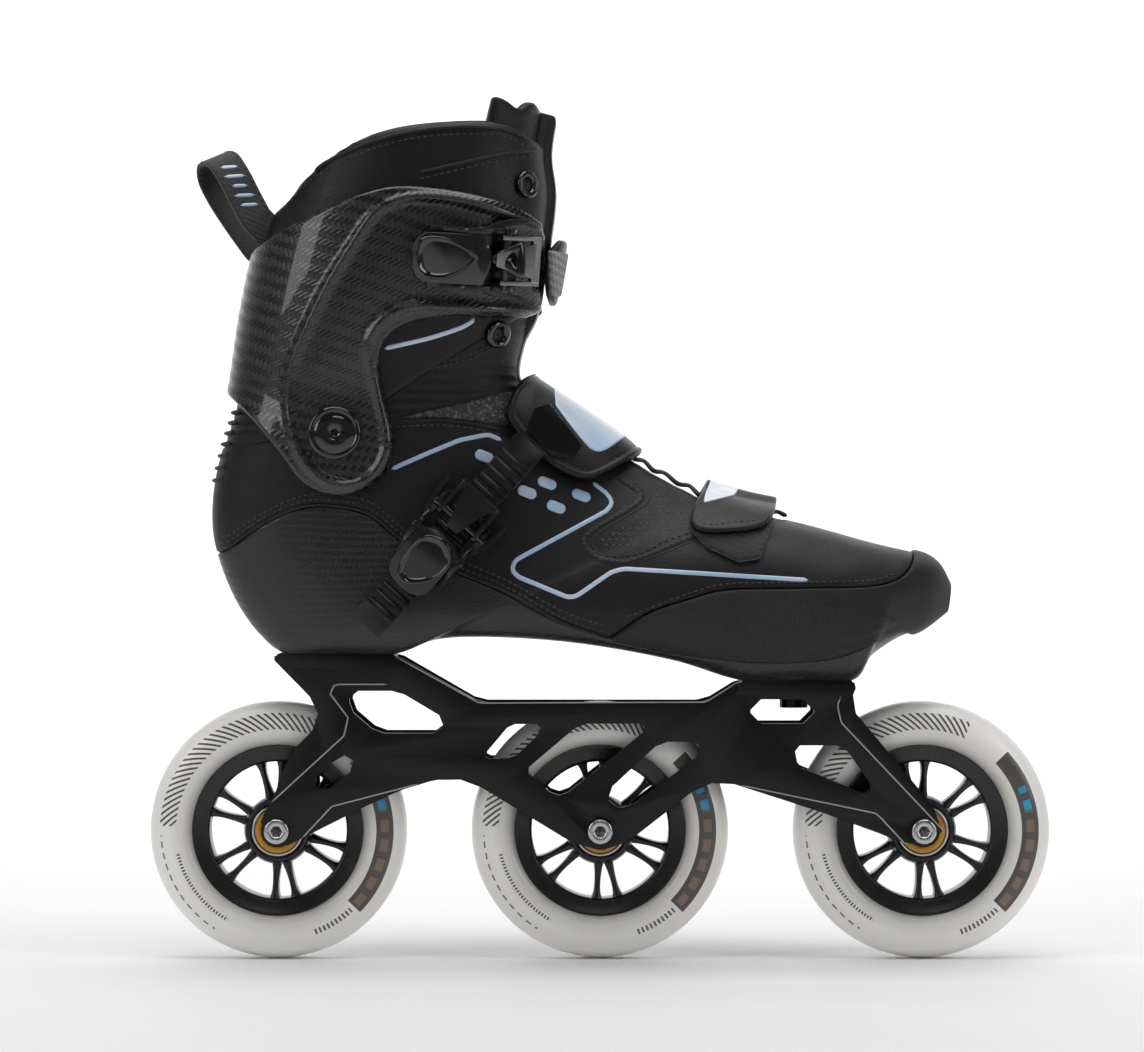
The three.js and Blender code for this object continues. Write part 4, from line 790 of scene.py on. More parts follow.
LINING = woven("lining", (0.008, 0.008, 0.008), (0.022, 0.022, 0.024), 0.0009, 0.0002)
STRAP_CLOTH = woven("strap_cloth", (0.007, 0.007, 0.007), (0.02, 0.02, 0.021), 0.0007, 0.00015, 0.6)
GREY_WEBBING = woven("grey_webbing", (0.13, 0.13, 0.135), (0.32, 0.32, 0.33), 0.0011, 0.0003, 0.7)
THREAD = woven("thread", (0.004, 0.004, 0.004), (0.03, 0.03, 0.031), 0.0003, 0.00005, 0.45)


# %% Carbon cloth under resin
def carbon(name, thread, dark, light, rough, coat, speckle=0.0):
    """Carbon cloth: the two thread directions differ in tone, because each catches the light its own way,
    and clear resin lies over them as a coat."""
    material, tree, shader = new_finish(name, dark, rough, Coat_Weight=coat, Coat_Roughness=0.04)
    spot = surface_place(tree)
    lean = add_node(tree, "ShaderNodeMapping", {"Vector": spot, "Rotation": (0, 0, 0.35)})
    out = use_group(tree, TWILL, Place=lean.outputs[0], Thread=thread)
    shade = calc(tree, "MULTIPLY", out["Over"], out["Height"])
    broad = add_node(tree, "ShaderNodeTexNoise", {"Vector": object_place(tree), "Scale": 22.0,
                                                  "Detail": 3.0}).outputs[0]
    patchy = add_node(tree, "ShaderNodeMapRange", {0: broad, 1: 0.38, 2: 0.66}).outputs[0]
    patches = calc(tree, "ADD", 1 - speckle, calc(tree, "MULTIPLY", patchy, speckle))
    tint(tree, shader, calc(tree, "MULTIPLY", shade, patches), dark, light)
    gloss(tree, shader, out["Over"], rough, rough + 0.15)
    relief(tree, shader, out["Height"], thread * 0.06)
    return material


CARBON_GLOSS = carbon("carbon_gloss", 0.0019, (0.0015, 0.0015, 0.0015), (0.011, 0.011, 0.0115), 0.26, 0.55)
CARBON_SATIN = carbon("carbon_satin", 0.0012, (0.002, 0.002, 0.002), (0.022, 0.022, 0.024), 0.36, 0.25,
                      speckle=0.85)

# %% Rubber, plastic and metal
material, tree, shader = new_finish("toe_rubber", (0.01, 0.01, 0.011), 0.5, Specular_IOR_Level=0.35)
rubber_place = add_node(tree, "ShaderNodeSeparateXYZ", {0: surface_place(tree)})
along_guard = calc(tree, "ADD", rubber_place.outputs[0], rubber_place.outputs[1])
ribs = calc(tree, "SINE", calc(tree, "MULTIPLY", along_guard, 2 * math.pi / 0.0011))
rubber_noise = add_node(tree, "ShaderNodeTexNoise", {"Vector": object_place(tree), "Scale": 60.0,
                                                     "Detail": 5.0}).outputs[0]
tint(tree, shader, rubber_noise, (0.006, 0.006, 0.0065), (0.014, 0.014, 0.015))
gloss(tree, shader, rubber_noise, 0.38, 0.6)
relief(tree, shader, ribs, 0.00008)
TOE_RUBBER = material


def moulded(name, dark, light, rough, depth=0.00003, coat=0.0, metallic=0.0, scuffed=0.35, grain=1800.0):
    """Moulded plastic or painted metal: an even fine grain, with rubbed marks that are lighter and duller."""
    material, tree, shader = new_finish(name, dark, rough[0], Coat_Weight=coat, Metallic=metallic)
    spot = object_place(tree)
    scuffs = use_group(tree, SCUFFS, Place=spot, Amount=scuffed, Scale=320.0)
    fine = add_node(tree, "ShaderNodeTexNoise", {"Vector": spot, "Scale": grain, "Detail": 3.0}).outputs[0]
    tint(tree, shader, scuffs["Mask"], dark, light)
    gloss(tree, shader, calc(tree, "ADD", calc(tree, "MULTIPLY", fine, 0.5), scuffs["Mask"]), *rough)
    relief(tree, shader, fine, depth)
    return material


BUCKLE_PLASTIC = moulded("buckle_plastic", (0.006, 0.006, 0.006), (0.05, 0.05, 0.05), (0.16, 0.42))
GLOSS_PLASTIC = moulded("gloss_plastic", (0.004, 0.004, 0.004), (0.02, 0.02, 0.02), (0.05, 0.2), coat=0.6,
                        depth=0.000008)
CORE_PLASTIC = moulded("core_plastic", (0.006, 0.005, 0.005), (0.03, 0.028, 0.027), (0.22, 0.5))
FRAME_ALLOY = moulded("frame_alloy", (0.007, 0.007, 0.008), (0.03, 0.03, 0.033), (0.32, 0.5), metallic=0.5,
                      grain=2600.0)
BLACK_STEEL = moulded("black_steel", (0.012, 0.012, 0.012), (0.06, 0.06, 0.06), (0.25, 0.45), metallic=0.7)
BRIGHT_STEEL = moulded("bright_steel", (0.5, 0.5, 0.51), (0.28, 0.28, 0.29), (0.16, 0.45), metallic=1.0)
SILVER_LINE = moulded("silver_line", (0.45, 0.45, 0.46), (0.3, 0.3, 0.3), (0.3, 0.5), metallic=0.8)
BRACKET_STEEL = moulded("bracket_steel", (0.2, 0.2, 0.21), (0.35, 0.35, 0.36), (0.2, 0.42), metallic=1.0)
SHIELD_YELLOW = moulded("shield_yellow", (0.62, 0.3, 0.02), (0.4, 0.18, 0.02), (0.3, 0.5))
# Matte near-black for the eyelets' holes: painted shade for the dark inside of a hole.
PAINTED_HOLE_SHADE = moulded("eyelet_hole_shade", (0.003, 0.003, 0.003), (0.01, 0.01, 0.01), (0.5, 0.7))

# %% Reflective print
material, tree, shader = new_finish("reflective_print", (0.36, 0.5, 0.68), 0.38, Metallic=0.15,
                                    Coat_Weight=0.2)
place_split = add_node(tree, "ShaderNodeSeparateXYZ", {0: object_place(tree)})
diagonal = calc(tree, "SUBTRACT", place_split.outputs[0], place_split.outputs[2])
sweep = calc(tree, "SINE", calc(tree, "MULTIPLY", diagonal, 70.0))
# Painted light: faces that look up are painted paler, as if lit from above. The paleness also rises and falls
# along a slow diagonal wave.
facing = add_node(tree, "ShaderNodeNewGeometry").outputs["Normal"]
facing_up = add_node(tree, "ShaderNodeSeparateXYZ", {0: facing}).outputs[2]
up = add_node(tree, "ShaderNodeMapRange", {0: facing_up, 1: 0.5, 2: 0.88}).outputs[0]
pale = add_node(tree, "ShaderNodeMapRange", {0: sweep, 1: -1.2, 2: 2.0, 4: 0.6}).outputs[0]
tint(tree, shader, calc(tree, "MAXIMUM", up, pale), (0.33, 0.49, 0.68), (0.8, 0.84, 0.9))
beads = add_node(tree, "ShaderNodeTexVoronoi", {"Vector": object_place(tree), "Scale": 2600.0})
relief(tree, shader, beads.outputs["Distance"], 0.00003)
REFLECTIVE = material
PERFORATION = moulded("perforation", (0.05, 0.05, 0.052), (0.1, 0.1, 0.105), (0.3, 0.5))

# %% [markdown]
# ## Urethane and what is printed on it
# A wheel's tyre is cast urethane, milky and slightly clear, so it is paler at the tread and greyer over the
# core. The darkest ring, where the tyre meets the core, is painted shade. The print on its side is ink, and
# it is drawn here by polar maths: every point of the tyre knows its place from the axle, which gives a
# radius and an angle, and each mark is a window on both.

# %% Urethane
material, tree, shader = new_finish("urethane", (0.86, 0.85, 0.81), 0.3, Subsurface_Weight=0.25,
                                    Subsurface_Scale=0.01, Coat_Weight=0.15)
spot = add_node(tree, "ShaderNodeAttribute", attribute_name="spot").outputs["Vector"]
spot_split = add_node(tree, "ShaderNodeSeparateXYZ", {0: spot})
radius = calc(tree, "SQRT", calc(tree, "ADD", calc(tree, "POWER", spot_split.outputs[0], 2.0),
                                 calc(tree, "POWER", spot_split.outputs[1], 2.0)))
angle = calc(tree, "ARCTAN2", spot_split.outputs[1], spot_split.outputs[0])
cloud = add_node(tree, "ShaderNodeTexNoise", {"Vector": spot, "Scale": 45.0, "Detail": 4.0}).outputs[0]
cloudy_radius = calc(tree, "ADD", radius, calc(tree, "MULTIPLY", cloud, 0.003))
# Greyer towards the core, which shows through the clear urethane; the dark ring at its edge is painted shade.
milk_and_hub_shade = add_node(tree, "ShaderNodeMapRange", {0: cloudy_radius, 1: 0.0362, 2: 0.0475}).outputs[0]
ramp = add_node(tree, "ShaderNodeValToRGB", {0: milk_and_hub_shade})
ramp.color_ramp.elements[0].color = (0.16, 0.145, 0.13, 1)
ramp.color_ramp.elements[1].color = (0.88, 0.87, 0.84, 1)
middle_stop = ramp.color_ramp.elements.new(0.2)
middle_stop.color = (0.5, 0.48, 0.45, 1)
paler_stop = ramp.color_ramp.elements.new(0.5)
paler_stop.color = (0.74, 0.725, 0.69, 1)
slant = calc(tree, "SUBTRACT", calc(tree, "MULTIPLY", angle, 100.0), calc(tree, "MULTIPLY", radius, 2200.0))
hatch = calc(tree, "GREATER_THAN", calc(tree, "SINE", slant), 0.25)
hatch = calc(tree, "MULTIPLY", hatch, window(tree, radius, 0.0432, 0.0502))
hatch = calc(tree, "MULTIPLY", hatch, window(tree, angle, 1.15, 3.1))


def arc_marks(count, limit, inner, outer, middle, reach):
    """Marks along an arc: a sine of count times the angle, where it is over limit, between two radii and
    within reach of the middle angle."""
    wave = calc(tree, "SINE", calc(tree, "MULTIPLY", angle, count))
    drawn = calc(tree, "GREATER_THAN", wave, limit)
    drawn = calc(tree, "MULTIPLY", drawn, window(tree, radius, inner, outer))
    off_middle = calc(tree, "ABSOLUTE", calc(tree, "SUBTRACT", angle, middle))
    return calc(tree, "MULTIPLY", drawn, calc(tree, "LESS_THAN", off_middle, reach))


dashes = arc_marks(64.0, -0.2, 0.0494, 0.05, -2.62, 0.48)
small = arc_marks(190.0, 0.0, 0.0428, 0.0442, -2.5, 0.42)
foot_print = arc_marks(150.0, 0.1, 0.0448, 0.0472, -1.02, 0.2)
dashes = calc(tree, "MAXIMUM", dashes, calc(tree, "MAXIMUM", small, foot_print))
blocks = calc(tree, "GREATER_THAN", calc(tree, "SINE", calc(tree, "MULTIPLY", angle, 34.0)), -0.35)
blocks = calc(tree, "MULTIPLY", blocks, window(tree, radius, 0.0442, 0.0476))
blocks = calc(tree, "MULTIPLY", blocks, window(tree, angle, -0.75, 0.42))
band = calc(tree, "MULTIPLY", window(tree, radius, 0.0422, 0.0495), window(tree, angle, -0.78, 0.75))
ink = calc(tree, "MAXIMUM", calc(tree, "MAXIMUM", hatch, dashes), band)
inked = add_node(tree, "ShaderNodeMix", {0: calc(tree, "MULTIPLY", ink, 0.92), 6: ramp.outputs[0],
                                         7: (0.016, 0.012, 0.009, 1)}, data_type="RGBA")
blue = window(tree, angle, 0.2, 0.42)
letters = add_node(tree, "ShaderNodeMix", {0: blue, 6: (0.2, 0.14, 0.1, 1), 7: (0.02, 0.33, 0.55, 1)},
                   data_type="RGBA")
printed = add_node(tree, "ShaderNodeMix", {0: blocks, 6: inked.outputs[2], 7: letters.outputs[2]},
                   data_type="RGBA")
tree.links.new(printed.outputs[2], shader.inputs["Base Color"])
gloss(tree, shader, cloud, 0.24, 0.42)
relief(tree, shader, cloud, 0.00015)
URETHANE = material


# %% Handing a piece over
def hand_over(obj, body, slot, *nodes, finish=None, padded=None):
    """Gives a finished piece its material and its body, and hides the CAD parts it stands for.
    Its slot is not used.
    """
    if finish is not None:
        obj.data.materials.clear()
        obj.data.materials.append(finish)
    if body:
        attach(obj, body)
    if nodes:
        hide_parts(*nodes)
    return obj


# %% [markdown]
# ## Wheels
# A wheel is turned about its axle, so each of its parts is a closed profile of radius and width carried
# round a circle. The tyre's section is a curve through a few points, fat at the shoulders. The core's
# twelve spokes stand in six pairs that meet at the hub, and each spoke swells where it joins the rim.

# %% Wheel parts
AXLES = {"rear": -137.6, "middle": 0.0, "front": 137.6}
WHEEL_R = 55.0


def tyre(name, x):
    """The tyre: half its section runs from the core round the shoulder to the crown, and is mirrored."""
    half = smooth_line([[36.1, 6.0], [36.4, 8.4], [38.4, 10.6], [42, 11.9], [46, 11.8], [49.6, 10.5],
                        [52.6, 8.0], [54.4, 4.6], [55, 0.0]], 5) / MM
    profile = np.vstack([half, half[-2::-1] * [1, -1]])
    obj = turned(name + "_tyre_cast", profile, x, WHEEL_R, 192)
    return hand_over(obj, name + "_wheel", "urethane", name + "_tyre", finish=URETHANE)


def spokes(x):
    """Twelve spokes. Each is a rounded bar from the hub to the rim; its half width is 1.25 mm, plus a
    swelling that grows with the eighth power of the way to the rim and the fourth power of the way back."""
    way = np.linspace(0, 1, 24)
    half = 1.25 + 1.8 * way**8 + 1.5 * (1 - way) ** 4
    made = []
    for pair in range(6):
        for lean in (-1, 1):
            centre = math.radians(-84 + 60 * pair)
            start, end = centre + lean * math.radians(8.5), centre + lean * math.radians(9)
            a = np.array([12.0 * math.cos(start), 0, 12.0 * math.sin(start)])
            b = np.array([30.2 * math.cos(end), 0, 30.2 * math.sin(end)])
            path = (a + (b - a) * way[:, None] + [x, 0, WHEEL_R]) * MM
            out = np.broadcast_to([0.0, 1.0, 0.0], path.shape)
            depth = (5.6 + 1.6 * way**3) * MM
            points = tube_points(path, out, half * MM, depth, 16, closed=True, power=4.5)
            made.append(points)
    return made


def core(name, x):
    """The core: a rim with a rounded lip, a hub with a seat for the bearing, and the spokes."""
    rim = turned("rim", [[29.3, -7.0], [29.6, -7.8], [30.6, -8.2], [35.4, -8.2], [36.3, -8.9],
                         [36.9, -8.6], [36.05, -7.4], [36.05, 7.4], [36.9, 8.6], [36.3, 8.9], [35.4, 8.2],
                         [30.6, 8.2], [29.6, 7.8], [29.3, 7.0]], x, WHEEL_R, 144)
    hub = turned("hub", [[11.1, -11.4], [11.5, -11.9], [12.8, -11.9], [13.3, -11.4], [14.6, -6],
                         [14.6, 6], [13.3, 11.4], [12.8, 11.9], [11.5, 11.9], [11.1, 11.4], [11.1, 5],
                         [9.4, 4.9], [9.4, -4.9], [11.1, -5]], x, WHEEL_R, 96)
    parts = [rim, hub]
    for points in spokes(x):
        rows, columns = points.shape[:2]
        parts.append(quad_mesh("spoke", points.reshape(-1, 3), grid_faces(rows, columns)))
    obj = join(name + "_core_spoked", parts)
    return hand_over(obj, name + "_wheel", "core_plastic", name + "_wheel_core", finish=CORE_PLASTIC)


def bearing(name, side, x):
    """A bearing's outer race and the yellow shield that closes it, turned as one profile."""
    sign = -1 if side == "lateral" else 1
    race = [[9.7, 5.1], [10.8, 5.1], [11.0, 5.4], [11.0, 11.6], [10.8, 11.95], [9.9, 11.95], [9.7, 11.7]]
    shield = [[6.6, 11.1], [6.8, 11.35], [9.4, 11.5], [9.72, 11.3], [9.72, 10.7], [6.6, 10.7]]
    obj = turned(f"{name}_race_{side}", [[r, sign * y] for r, y in race], x, WHEEL_R, 64)
    hand_over(obj, name + "_wheel", "bearing", f"{name}_bearing_outer_{side}", finish=BRIGHT_STEEL)
    cover = turned(f"{name}_shield_{side}", [[r, sign * y] for r, y in shield], x, WHEEL_R, 64)
    hand_over(cover, name + "_wheel", "bearing", finish=SHIELD_YELLOW)


def axle_bolt(name, x):
    """The axle bolt: a low round head with a six-sided socket, on a shank that crosses the frame."""
    profile = [[0.02, -18.3], [2.4, -18.3], [2.45, -20.0], [3.0, -20.25], [4.5, -20.25], [5.1, -20.05],
               [5.35, -19.6], [5.4, -18.15], [4.0, -18.1], [4.0, 17.2], [3.6, 17.7], [0.02, 17.7]]
    obj = turned(name + "_axle_turned", profile, x, WHEEL_R, 72, hex_rows=(1, 2))
    return hand_over(obj, "foot", "steel", name + "_axle_bolt", finish=BRIGHT_STEEL)


for wheel_name, wheel_x in AXLES.items():
    tyre(wheel_name, wheel_x)
    core(wheel_name, wheel_x)
    for bearing_side in ("lateral", "medial"):
        bearing(wheel_name, bearing_side, wheel_x)
    axle_bolt(wheel_name, wheel_x)
print("wheels:", list(AXLES))

# %% [markdown]
# ## Machined and moulded parts
# The frame, the buckles and the small hard parts have the right shape in the CAD model, but their edges are
# perfectly sharp, and no real edge is. A thin rounding along each edge catches a line of light. It comes
# from the Bevel modifier on a copy whose loose triangles have been merged and whose flat faces are joined.

# %% Softened copies of CAD parts
def softened(node, name, width, segments=2, angle=28):
    """A copy of a CAD part with merged corners, joined flat faces, and rounded edges of the given width."""
    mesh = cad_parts[node].data.copy()
    work = bmesh.new()
    work.from_mesh(mesh)
    bmesh.ops.remove_doubles(work, verts=work.verts, dist=2e-5)
    bmesh.ops.dissolve_limit(work, angle_limit=math.radians(1.5), verts=work.verts, edges=work.edges)
    work.to_mesh(mesh)
    work.free()
    obj = bpy.data.objects.new(name, mesh)
    bpy.context.scene.collection.objects.link(obj)
    mesh.shade_smooth()
    bevel = obj.modifiers.new("rounded", "BEVEL")
    bevel.width = width * MM
    bevel.segments = segments
    bevel.limit_method = "ANGLE"
    bevel.angle_limit = math.radians(angle)
    bevel.harden_normals = True
    bevel.use_clamp_overlap = True
    return obj


hand_over(softened("frame", "frame_machined", 0.5), "foot", "frame_alloy", "frame", finish=FRAME_ALLOY)

# %% Pinstripes of the frame
FACE_Y = -17.8
STRIPES = [
    [[-90.5, 117.6], [-112.8, 117.6], [-114.9, 113.7], [-107.2, 103.5], [-108.9, 95.7], [-139.8, 67.4]],
    [[-89.6, 130.9], [-51.5, 109.7], [45.0, 110.1], [60.0, 119.7]],
    [[102.5, 112.9], [100.8, 108.6], [102.5, 101.3], [146.7, 54.6]],
    [[60.0, 74.7], [117.5, 62.7], [129.9, 49.4]],
    [[-77.6, 75.2], [-114.1, 65.7], [-126.9, 52.0]],
]


def stripe(name, line):
    """A fine machined line on the face of the frame: a flat tube half sunk into it."""
    corner_path = np.array([[x, FACE_Y, z] for x, z in line]) * MM
    path, _ = even_steps(corner_path, 0.002)
    out = np.broadcast_to([0.0, -1.0, 0.0], path.shape)
    return tube(name, path, out, 0.00032, 0.0001, sides=6)


frame_stripes = join("frame_pinstripes", [stripe(f"stripe_{k}", line) for k, line in enumerate(STRIPES)])
hand_over(frame_stripes, "foot", "steel", finish=SILVER_LINE)
print("frame:", len(STRIPES), "pinstripes")

# %% [markdown]
# ## The boot's panels
# The carbon shell carries the foot, the upper closes over it, a rubber guard wraps the toe, and the shaft
# stands above the ankle. All are cut from the last. The shell and upper meet on a seam, the guard stands a
# little proud, and the padded edge at the top of the shaft is rolled over.

# %% Seams in the side view
SHELL_SEAM = smooth_line([[-200, 173], [-164.2, 173.4], [-156.5, 176.4], [-142.8, 185.4], [-128.7, 191.8],
                          [-116.4, 193.5], [-98.2, 190.1], [-83.2, 178.5], [-68.6, 169.5], [-55.5, 163.6],
                          [-39.5, 156.7], [-17.2, 144.6], [3.6, 137]])
TOE_SEAM = smooth_line([[3.6, 137], [20, 148.1], [37.7, 154.2], [52.7, 158], [80, 158.6], [111.5, 159.2],
                        [124.4, 161.8], [130.8, 166.9], [134, 175], [134.5, 190]])
TOE_LOW = smooth_line([[3.6, 137], [32.6, 131], [68.6, 127.4], [98.6, 129.4], [128, 140], [142, 130]])
TOP_EDGE = smooth_line([[-185, 300], [-138.9, 320], [-125.7, 332.5], [-107.2, 345.3], [-86.6, 352.2],
                        [-59.2, 354.9], [-39.5, 354.3], [-27, 349.2], [-5, 335]])
PIVOT = np.array([-111.5, 224]) * MM
SOLE_LEVELS = [(-0.16, -0.075, 0.1307), (0.052, 0.112, 0.1195)]


def around_pivot(points, low, high):
    """Distance into the wedge between two directions from the ankle's pivot, in degrees, low to high
    counter-clockwise in the side view, as the smaller of the distances to its two lines."""
    rel = side_xz(points) - PIVOT
    low, high = math.radians(low), math.radians(high)
    over = math.cos(low) * rel[..., 1] - math.sin(low) * rel[..., 0]
    under = math.sin(high) * rel[..., 0] - math.cos(high) * rel[..., 1]
    return np.minimum(over, under)


def settle(points):
    """Lifts the sole onto the two decks of the frame."""
    for start, end, height in SOLE_LEVELS:
        on_deck = (points[..., 0] > start) & (points[..., 0] < end)
        points[..., 2] = np.where(on_deck, np.maximum(points[..., 2], height), points[..., 2])
    return points


boot = last_grid(0, LAST_RIB, 430, -1, 1, 300)
boot.points = settle(boot.points)
THROAT = np.array([[-60, 400], [-46, 300], [-52, 246], [-10, 212], [40, 184], [78, 178], [78, 230],
                   [40, 400]]) * MM
beside_throat = np.maximum(np.abs(boot.points[..., 1]) - 12 * MM,
                           -inside_distance(side_xz(boot.points), THROAT))
shell_outline = np.vstack([SHELL_SEAM, TOE_LOW[1:], [[0.3, 0.05], [-0.3, 0.05]]])
under_shell_seam = inside_distance(side_xz(boot.points), shell_outline)
guard_outline = np.vstack([TOE_SEAM, [[0.2, 0.19], [0.2, 0.13]], TOE_LOW[::-1]])
in_guard = inside_distance(side_xz(boot.points), guard_outline)
foot_outline = np.vstack([SHELL_SEAM, TOE_SEAM[1:], [[0.135, 0.4], [-0.2, 0.4]]])
in_foot = inside_distance(side_xz(boot.points), foot_outline)
in_shaft = np.minimum(around_pivot(boot.points, 31.5, 156), below_line(boot.points, TOP_EDGE))
above_flex = np.maximum(around_pivot(boot.points, 14, 100), around_pivot(boot.points, 80, 186))
print("boot grid:", boot.points.shape)

# %% Shell, upper, guard and shaft
shell_panel = closed_panel("carbon_shell_moulded", boot, under_shell_seam, rounded_edge(0.0, 0.0012),
                           level(-0.0032))
hand_over(shell_panel, "foot", "carbon", "carbon_shell", finish=CARBON_SATIN)

upper_area = np.minimum(np.minimum(in_foot, beside_throat), -above_flex)
upper_panel = closed_panel("foot_upper_sewn", boot, upper_area, rounded_edge(0.0, 0.0012), level(-0.0032))
hand_over(upper_panel, "foot", "microfibre", "foot_upper", finish=MICROFIBRE)

shaft_area = np.minimum(in_shaft, beside_throat)
shaft_panel = closed_panel("ankle_collar_padded", boot, shaft_area, rounded_edge(0.0, 0.0032),
                           level(-0.0033))
hand_over(shaft_panel, "shaft", "microfibre", "ankle_collar", finish=SMOOTH_LEATHER)

LEAF = rounded([[47, 139], [60, 149], [86, 154.5], [108, 152], [128, 146], [120, 141], [98, 134],
                [70, 133]], 3)


def guard_face(table):
    """The guard's face: a lip of 1.2 mm over the upper, and a leaf raised by 0.6 mm more."""
    spot = table[:, [0, 2]]
    leaf = np.clip(inside_distance(spot, LEAF) / 0.002, 0, 1)
    return rounded_edge(0.0012, 0.0012)(table) + 0.0006 * leaf * leaf * (3 - 2 * leaf)


guard_panel = closed_panel("toe_guard_moulded", boot, np.minimum(in_guard, beside_throat), guard_face,
                           level(-0.003))
hand_over(guard_panel, "foot", "toe_rubber", "toe_guard", finish=TOE_RUBBER)
print("panels:", [len(p.data.polygons) for p in (shell_panel, upper_panel, shaft_panel, guard_panel)])

# %% Ankle gusset
flex_band = np.maximum(np.minimum(around_pivot(boot.points, 12, 100),
                                  -around_pivot(boot.points, 33.5, 100)),
                       np.minimum(around_pivot(boot.points, 80, 188), -around_pivot(boot.points, 80, 154)))
gusset_area = np.minimum(flex_band, beside_throat + 0.002)


def pleats(table):
    """Shallow folds along the gusset: a sine of the height that dies out at its edges."""
    edge = np.clip(table[:, 8] / 0.004, 0, 1)
    return -0.0007 + 0.0002 * np.sin(table[:, 2] / 0.0042 * 2 * math.pi) * edge


front_share = boot.points[..., 0] + 0.111
gusset_front = closed_panel("ankle_gusset_front", boot, np.minimum(gusset_area, front_share), pleats,
                            level(-0.0032))
hand_over(gusset_front, None, "microfibre", "ankle_gusset", finish=MICROFIBRE)
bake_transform(gusset_front)
gusset_back = closed_panel("ankle_gusset_back", boot, np.minimum(gusset_area, -front_share), pleats,
                           level(-0.0032))
hand_over(gusset_back, None, "microfibre", "ankle_gusset", finish=MICROFIBRE)
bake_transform(gusset_back)
print("gusset:", len(gusset_front.data.polygons), len(gusset_back.data.polygons), "faces")

# %% [markdown]
# ## Padding, tongue and insole
# Foam makes a soft edge: the padding's inner face swells away from its seams, and sewn channels pull it in
# again. The tongue is one sheet under the upper, and rises in the middle to fill the slot between the two
# sides, so its height over the last is a smooth step of the distance from the middle.

# %% Soft pieces inside the boot
def smooth_step(value):
    """0 below 0, 1 above 1, and between them 3v2 - 2v3."""
    v = np.clip(value, 0, 1)
    return v * v * (3 - 2 * v)


def foam(outer, depth, radius, channel=None):
    """The inner face of a foam pad: it leaves the outer height as a quarter circle over radius, down to
    depth, and channels are grooves that repeat along z."""
    def face(table):
        d = np.clip(table[:, 8], 0, radius) / radius
        swell = np.sqrt(1 - (1 - d) ** 2)
        if channel:
            near = np.abs((table[:, 2] / channel) % 1 - 0.5) * channel
            swell = swell * (1 - 0.45 * np.exp(-((channel / 2 - near) / 0.0016) ** 2))
        return outer - (depth - 0.0004) * swell - 0.0004
    return face


pad_outline = rounded([[-195, 262.6], [-85, 262.6], [-63.5, 284], [-63.5, 372], [-195, 372]], 2)
pad_area = np.minimum(inside_distance(side_xz(boot.points), pad_outline),
                      below_line(boot.points, TOP_EDGE) - 0.0012)
ankle_pad = closed_panel("ankle_padding_quilted", boot, pad_area, level(-0.0036),
                         foam(-0.0036, 0.0044, 0.005, 0.021))
hand_over(ankle_pad, "shaft", "padding", "ankle_padding", finish=LINING, padded=0.6)

heel_outline = rounded([[-190, 158], [-96, 158], [-84, 175], [-84, 204], [-190, 213]], 2)
heel_grid = last_grid(7, 12, 60, -1, 1, 240)
heel_area = inside_distance(side_xz(heel_grid.points), heel_outline)
heel_pad = closed_panel("heel_padding_foam", heel_grid, heel_area, level(-0.0036),
                        foam(-0.0036, 0.004, 0.005))
hand_over(heel_pad, "foot", "padding", "heel_padding", finish=LINING, padded=0.5)
hand_over(softened("insole", "insole_board", 0.4), "foot", "padding", "insole", finish=LINING)

TONGUE_OUTLINE = rounded([[-61, 330], [-61, 352], [-54, 362.5], [-46.3, 366], [-38, 364.5], [-31, 359.5],
                          [-27, 363], [-22.4, 363.8], [-17, 352], [-8, 340], [-8, 300], [-14, 256],
                          [30, 230], [84, 206], [84, 174], [20, 186], [-22, 212], [-58, 240],
                          [-58, 290]], 2)


def tongue_face(table):
    """The tongue's outer height: 3.7 mm under the last at its sides, proud of the throat in its middle."""
    blend = smooth_step((table[:, 2] - 0.262) / 0.014)
    target = -0.0003 * (1 - blend) + 0.0024 * blend
    across = smooth_step((0.0118 - np.abs(table[:, 1])) / 0.0022)
    edge = np.clip(table[:, 8], 0, 0.002) / 0.002
    return -0.0037 + (target + 0.0037) * across - 0.0012 * (1 - np.sqrt(1 - (1 - edge) ** 2))


tongue_grid = last_grid(0, 19, 330, -0.72, 0.72, 200)
tongue_area = np.minimum(inside_distance(side_xz(tongue_grid.points), TONGUE_OUTLINE),
                         0.0415 - np.abs(tongue_grid.points[..., 1]))
tongue = closed_panel("tongue_padded", tongue_grid, tongue_area, tongue_face, level(-0.0074))
hand_over(tongue, None, "microfibre", "tongue", finish=SMOOTH_LEATHER, padded=0.6)
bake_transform(tongue)
print("soft pieces:", [len(p.data.polygons) for p in (ankle_pad, heel_pad, tongue)])

# %% [markdown]
# ## The carbon cuff
# The cuff is moulded carbon cloth that wraps the heel side of the shaft and reaches forward on both sides
# to its buckle. A round bead runs along its side like a rail. It stiffens the cuff, and it catches the
# longest highlight on the whole boot. Here the bead is part of the surface: the face rises by a bell curve
# of the distance to the bead's line.

# %% Cuff
CUFF_OUTLINE = rounded([[-162, 247], [-152, 295], [-147.7, 299.5], [-128.7, 310.5], [-111.5, 319],
                        [-98.2, 324.5], [-84.5, 328], [-55.8, 325.2], [-27.2, 316.6], [-26.6, 296],
                        [-29.4, 274.2], [-42.9, 272.8], [-68.2, 273.6], [-85.8, 269.2], [-93.6, 259.3],
                        [-91.9, 240], [-86, 222.4], [-89.6, 206.4], [-100.8, 198.6], [-112.5, 197],
                        [-125.2, 202.2], [-133.4, 214.7], [-146.6, 231.4]], 2)
BEAD = smooth_line([[-30, 313], [-57, 320.8], [-79, 322.4], [-93, 316.5], [-103, 303], [-115.4, 281.9],
                    [-127.5, 254.4], [-129.6, 239], [-128.4, 224], [-124.6, 213.4], [-118, 205.6],
                    [-109, 201.8], [-99, 204], [-92.4, 211.5], [-90.2, 222], [-93.6, 240], [-97, 255],
                    [-96.4, 265], [-89, 273.6], [-78, 277.6], [-60, 277.4], [-44, 277], [-31, 278]], 6)


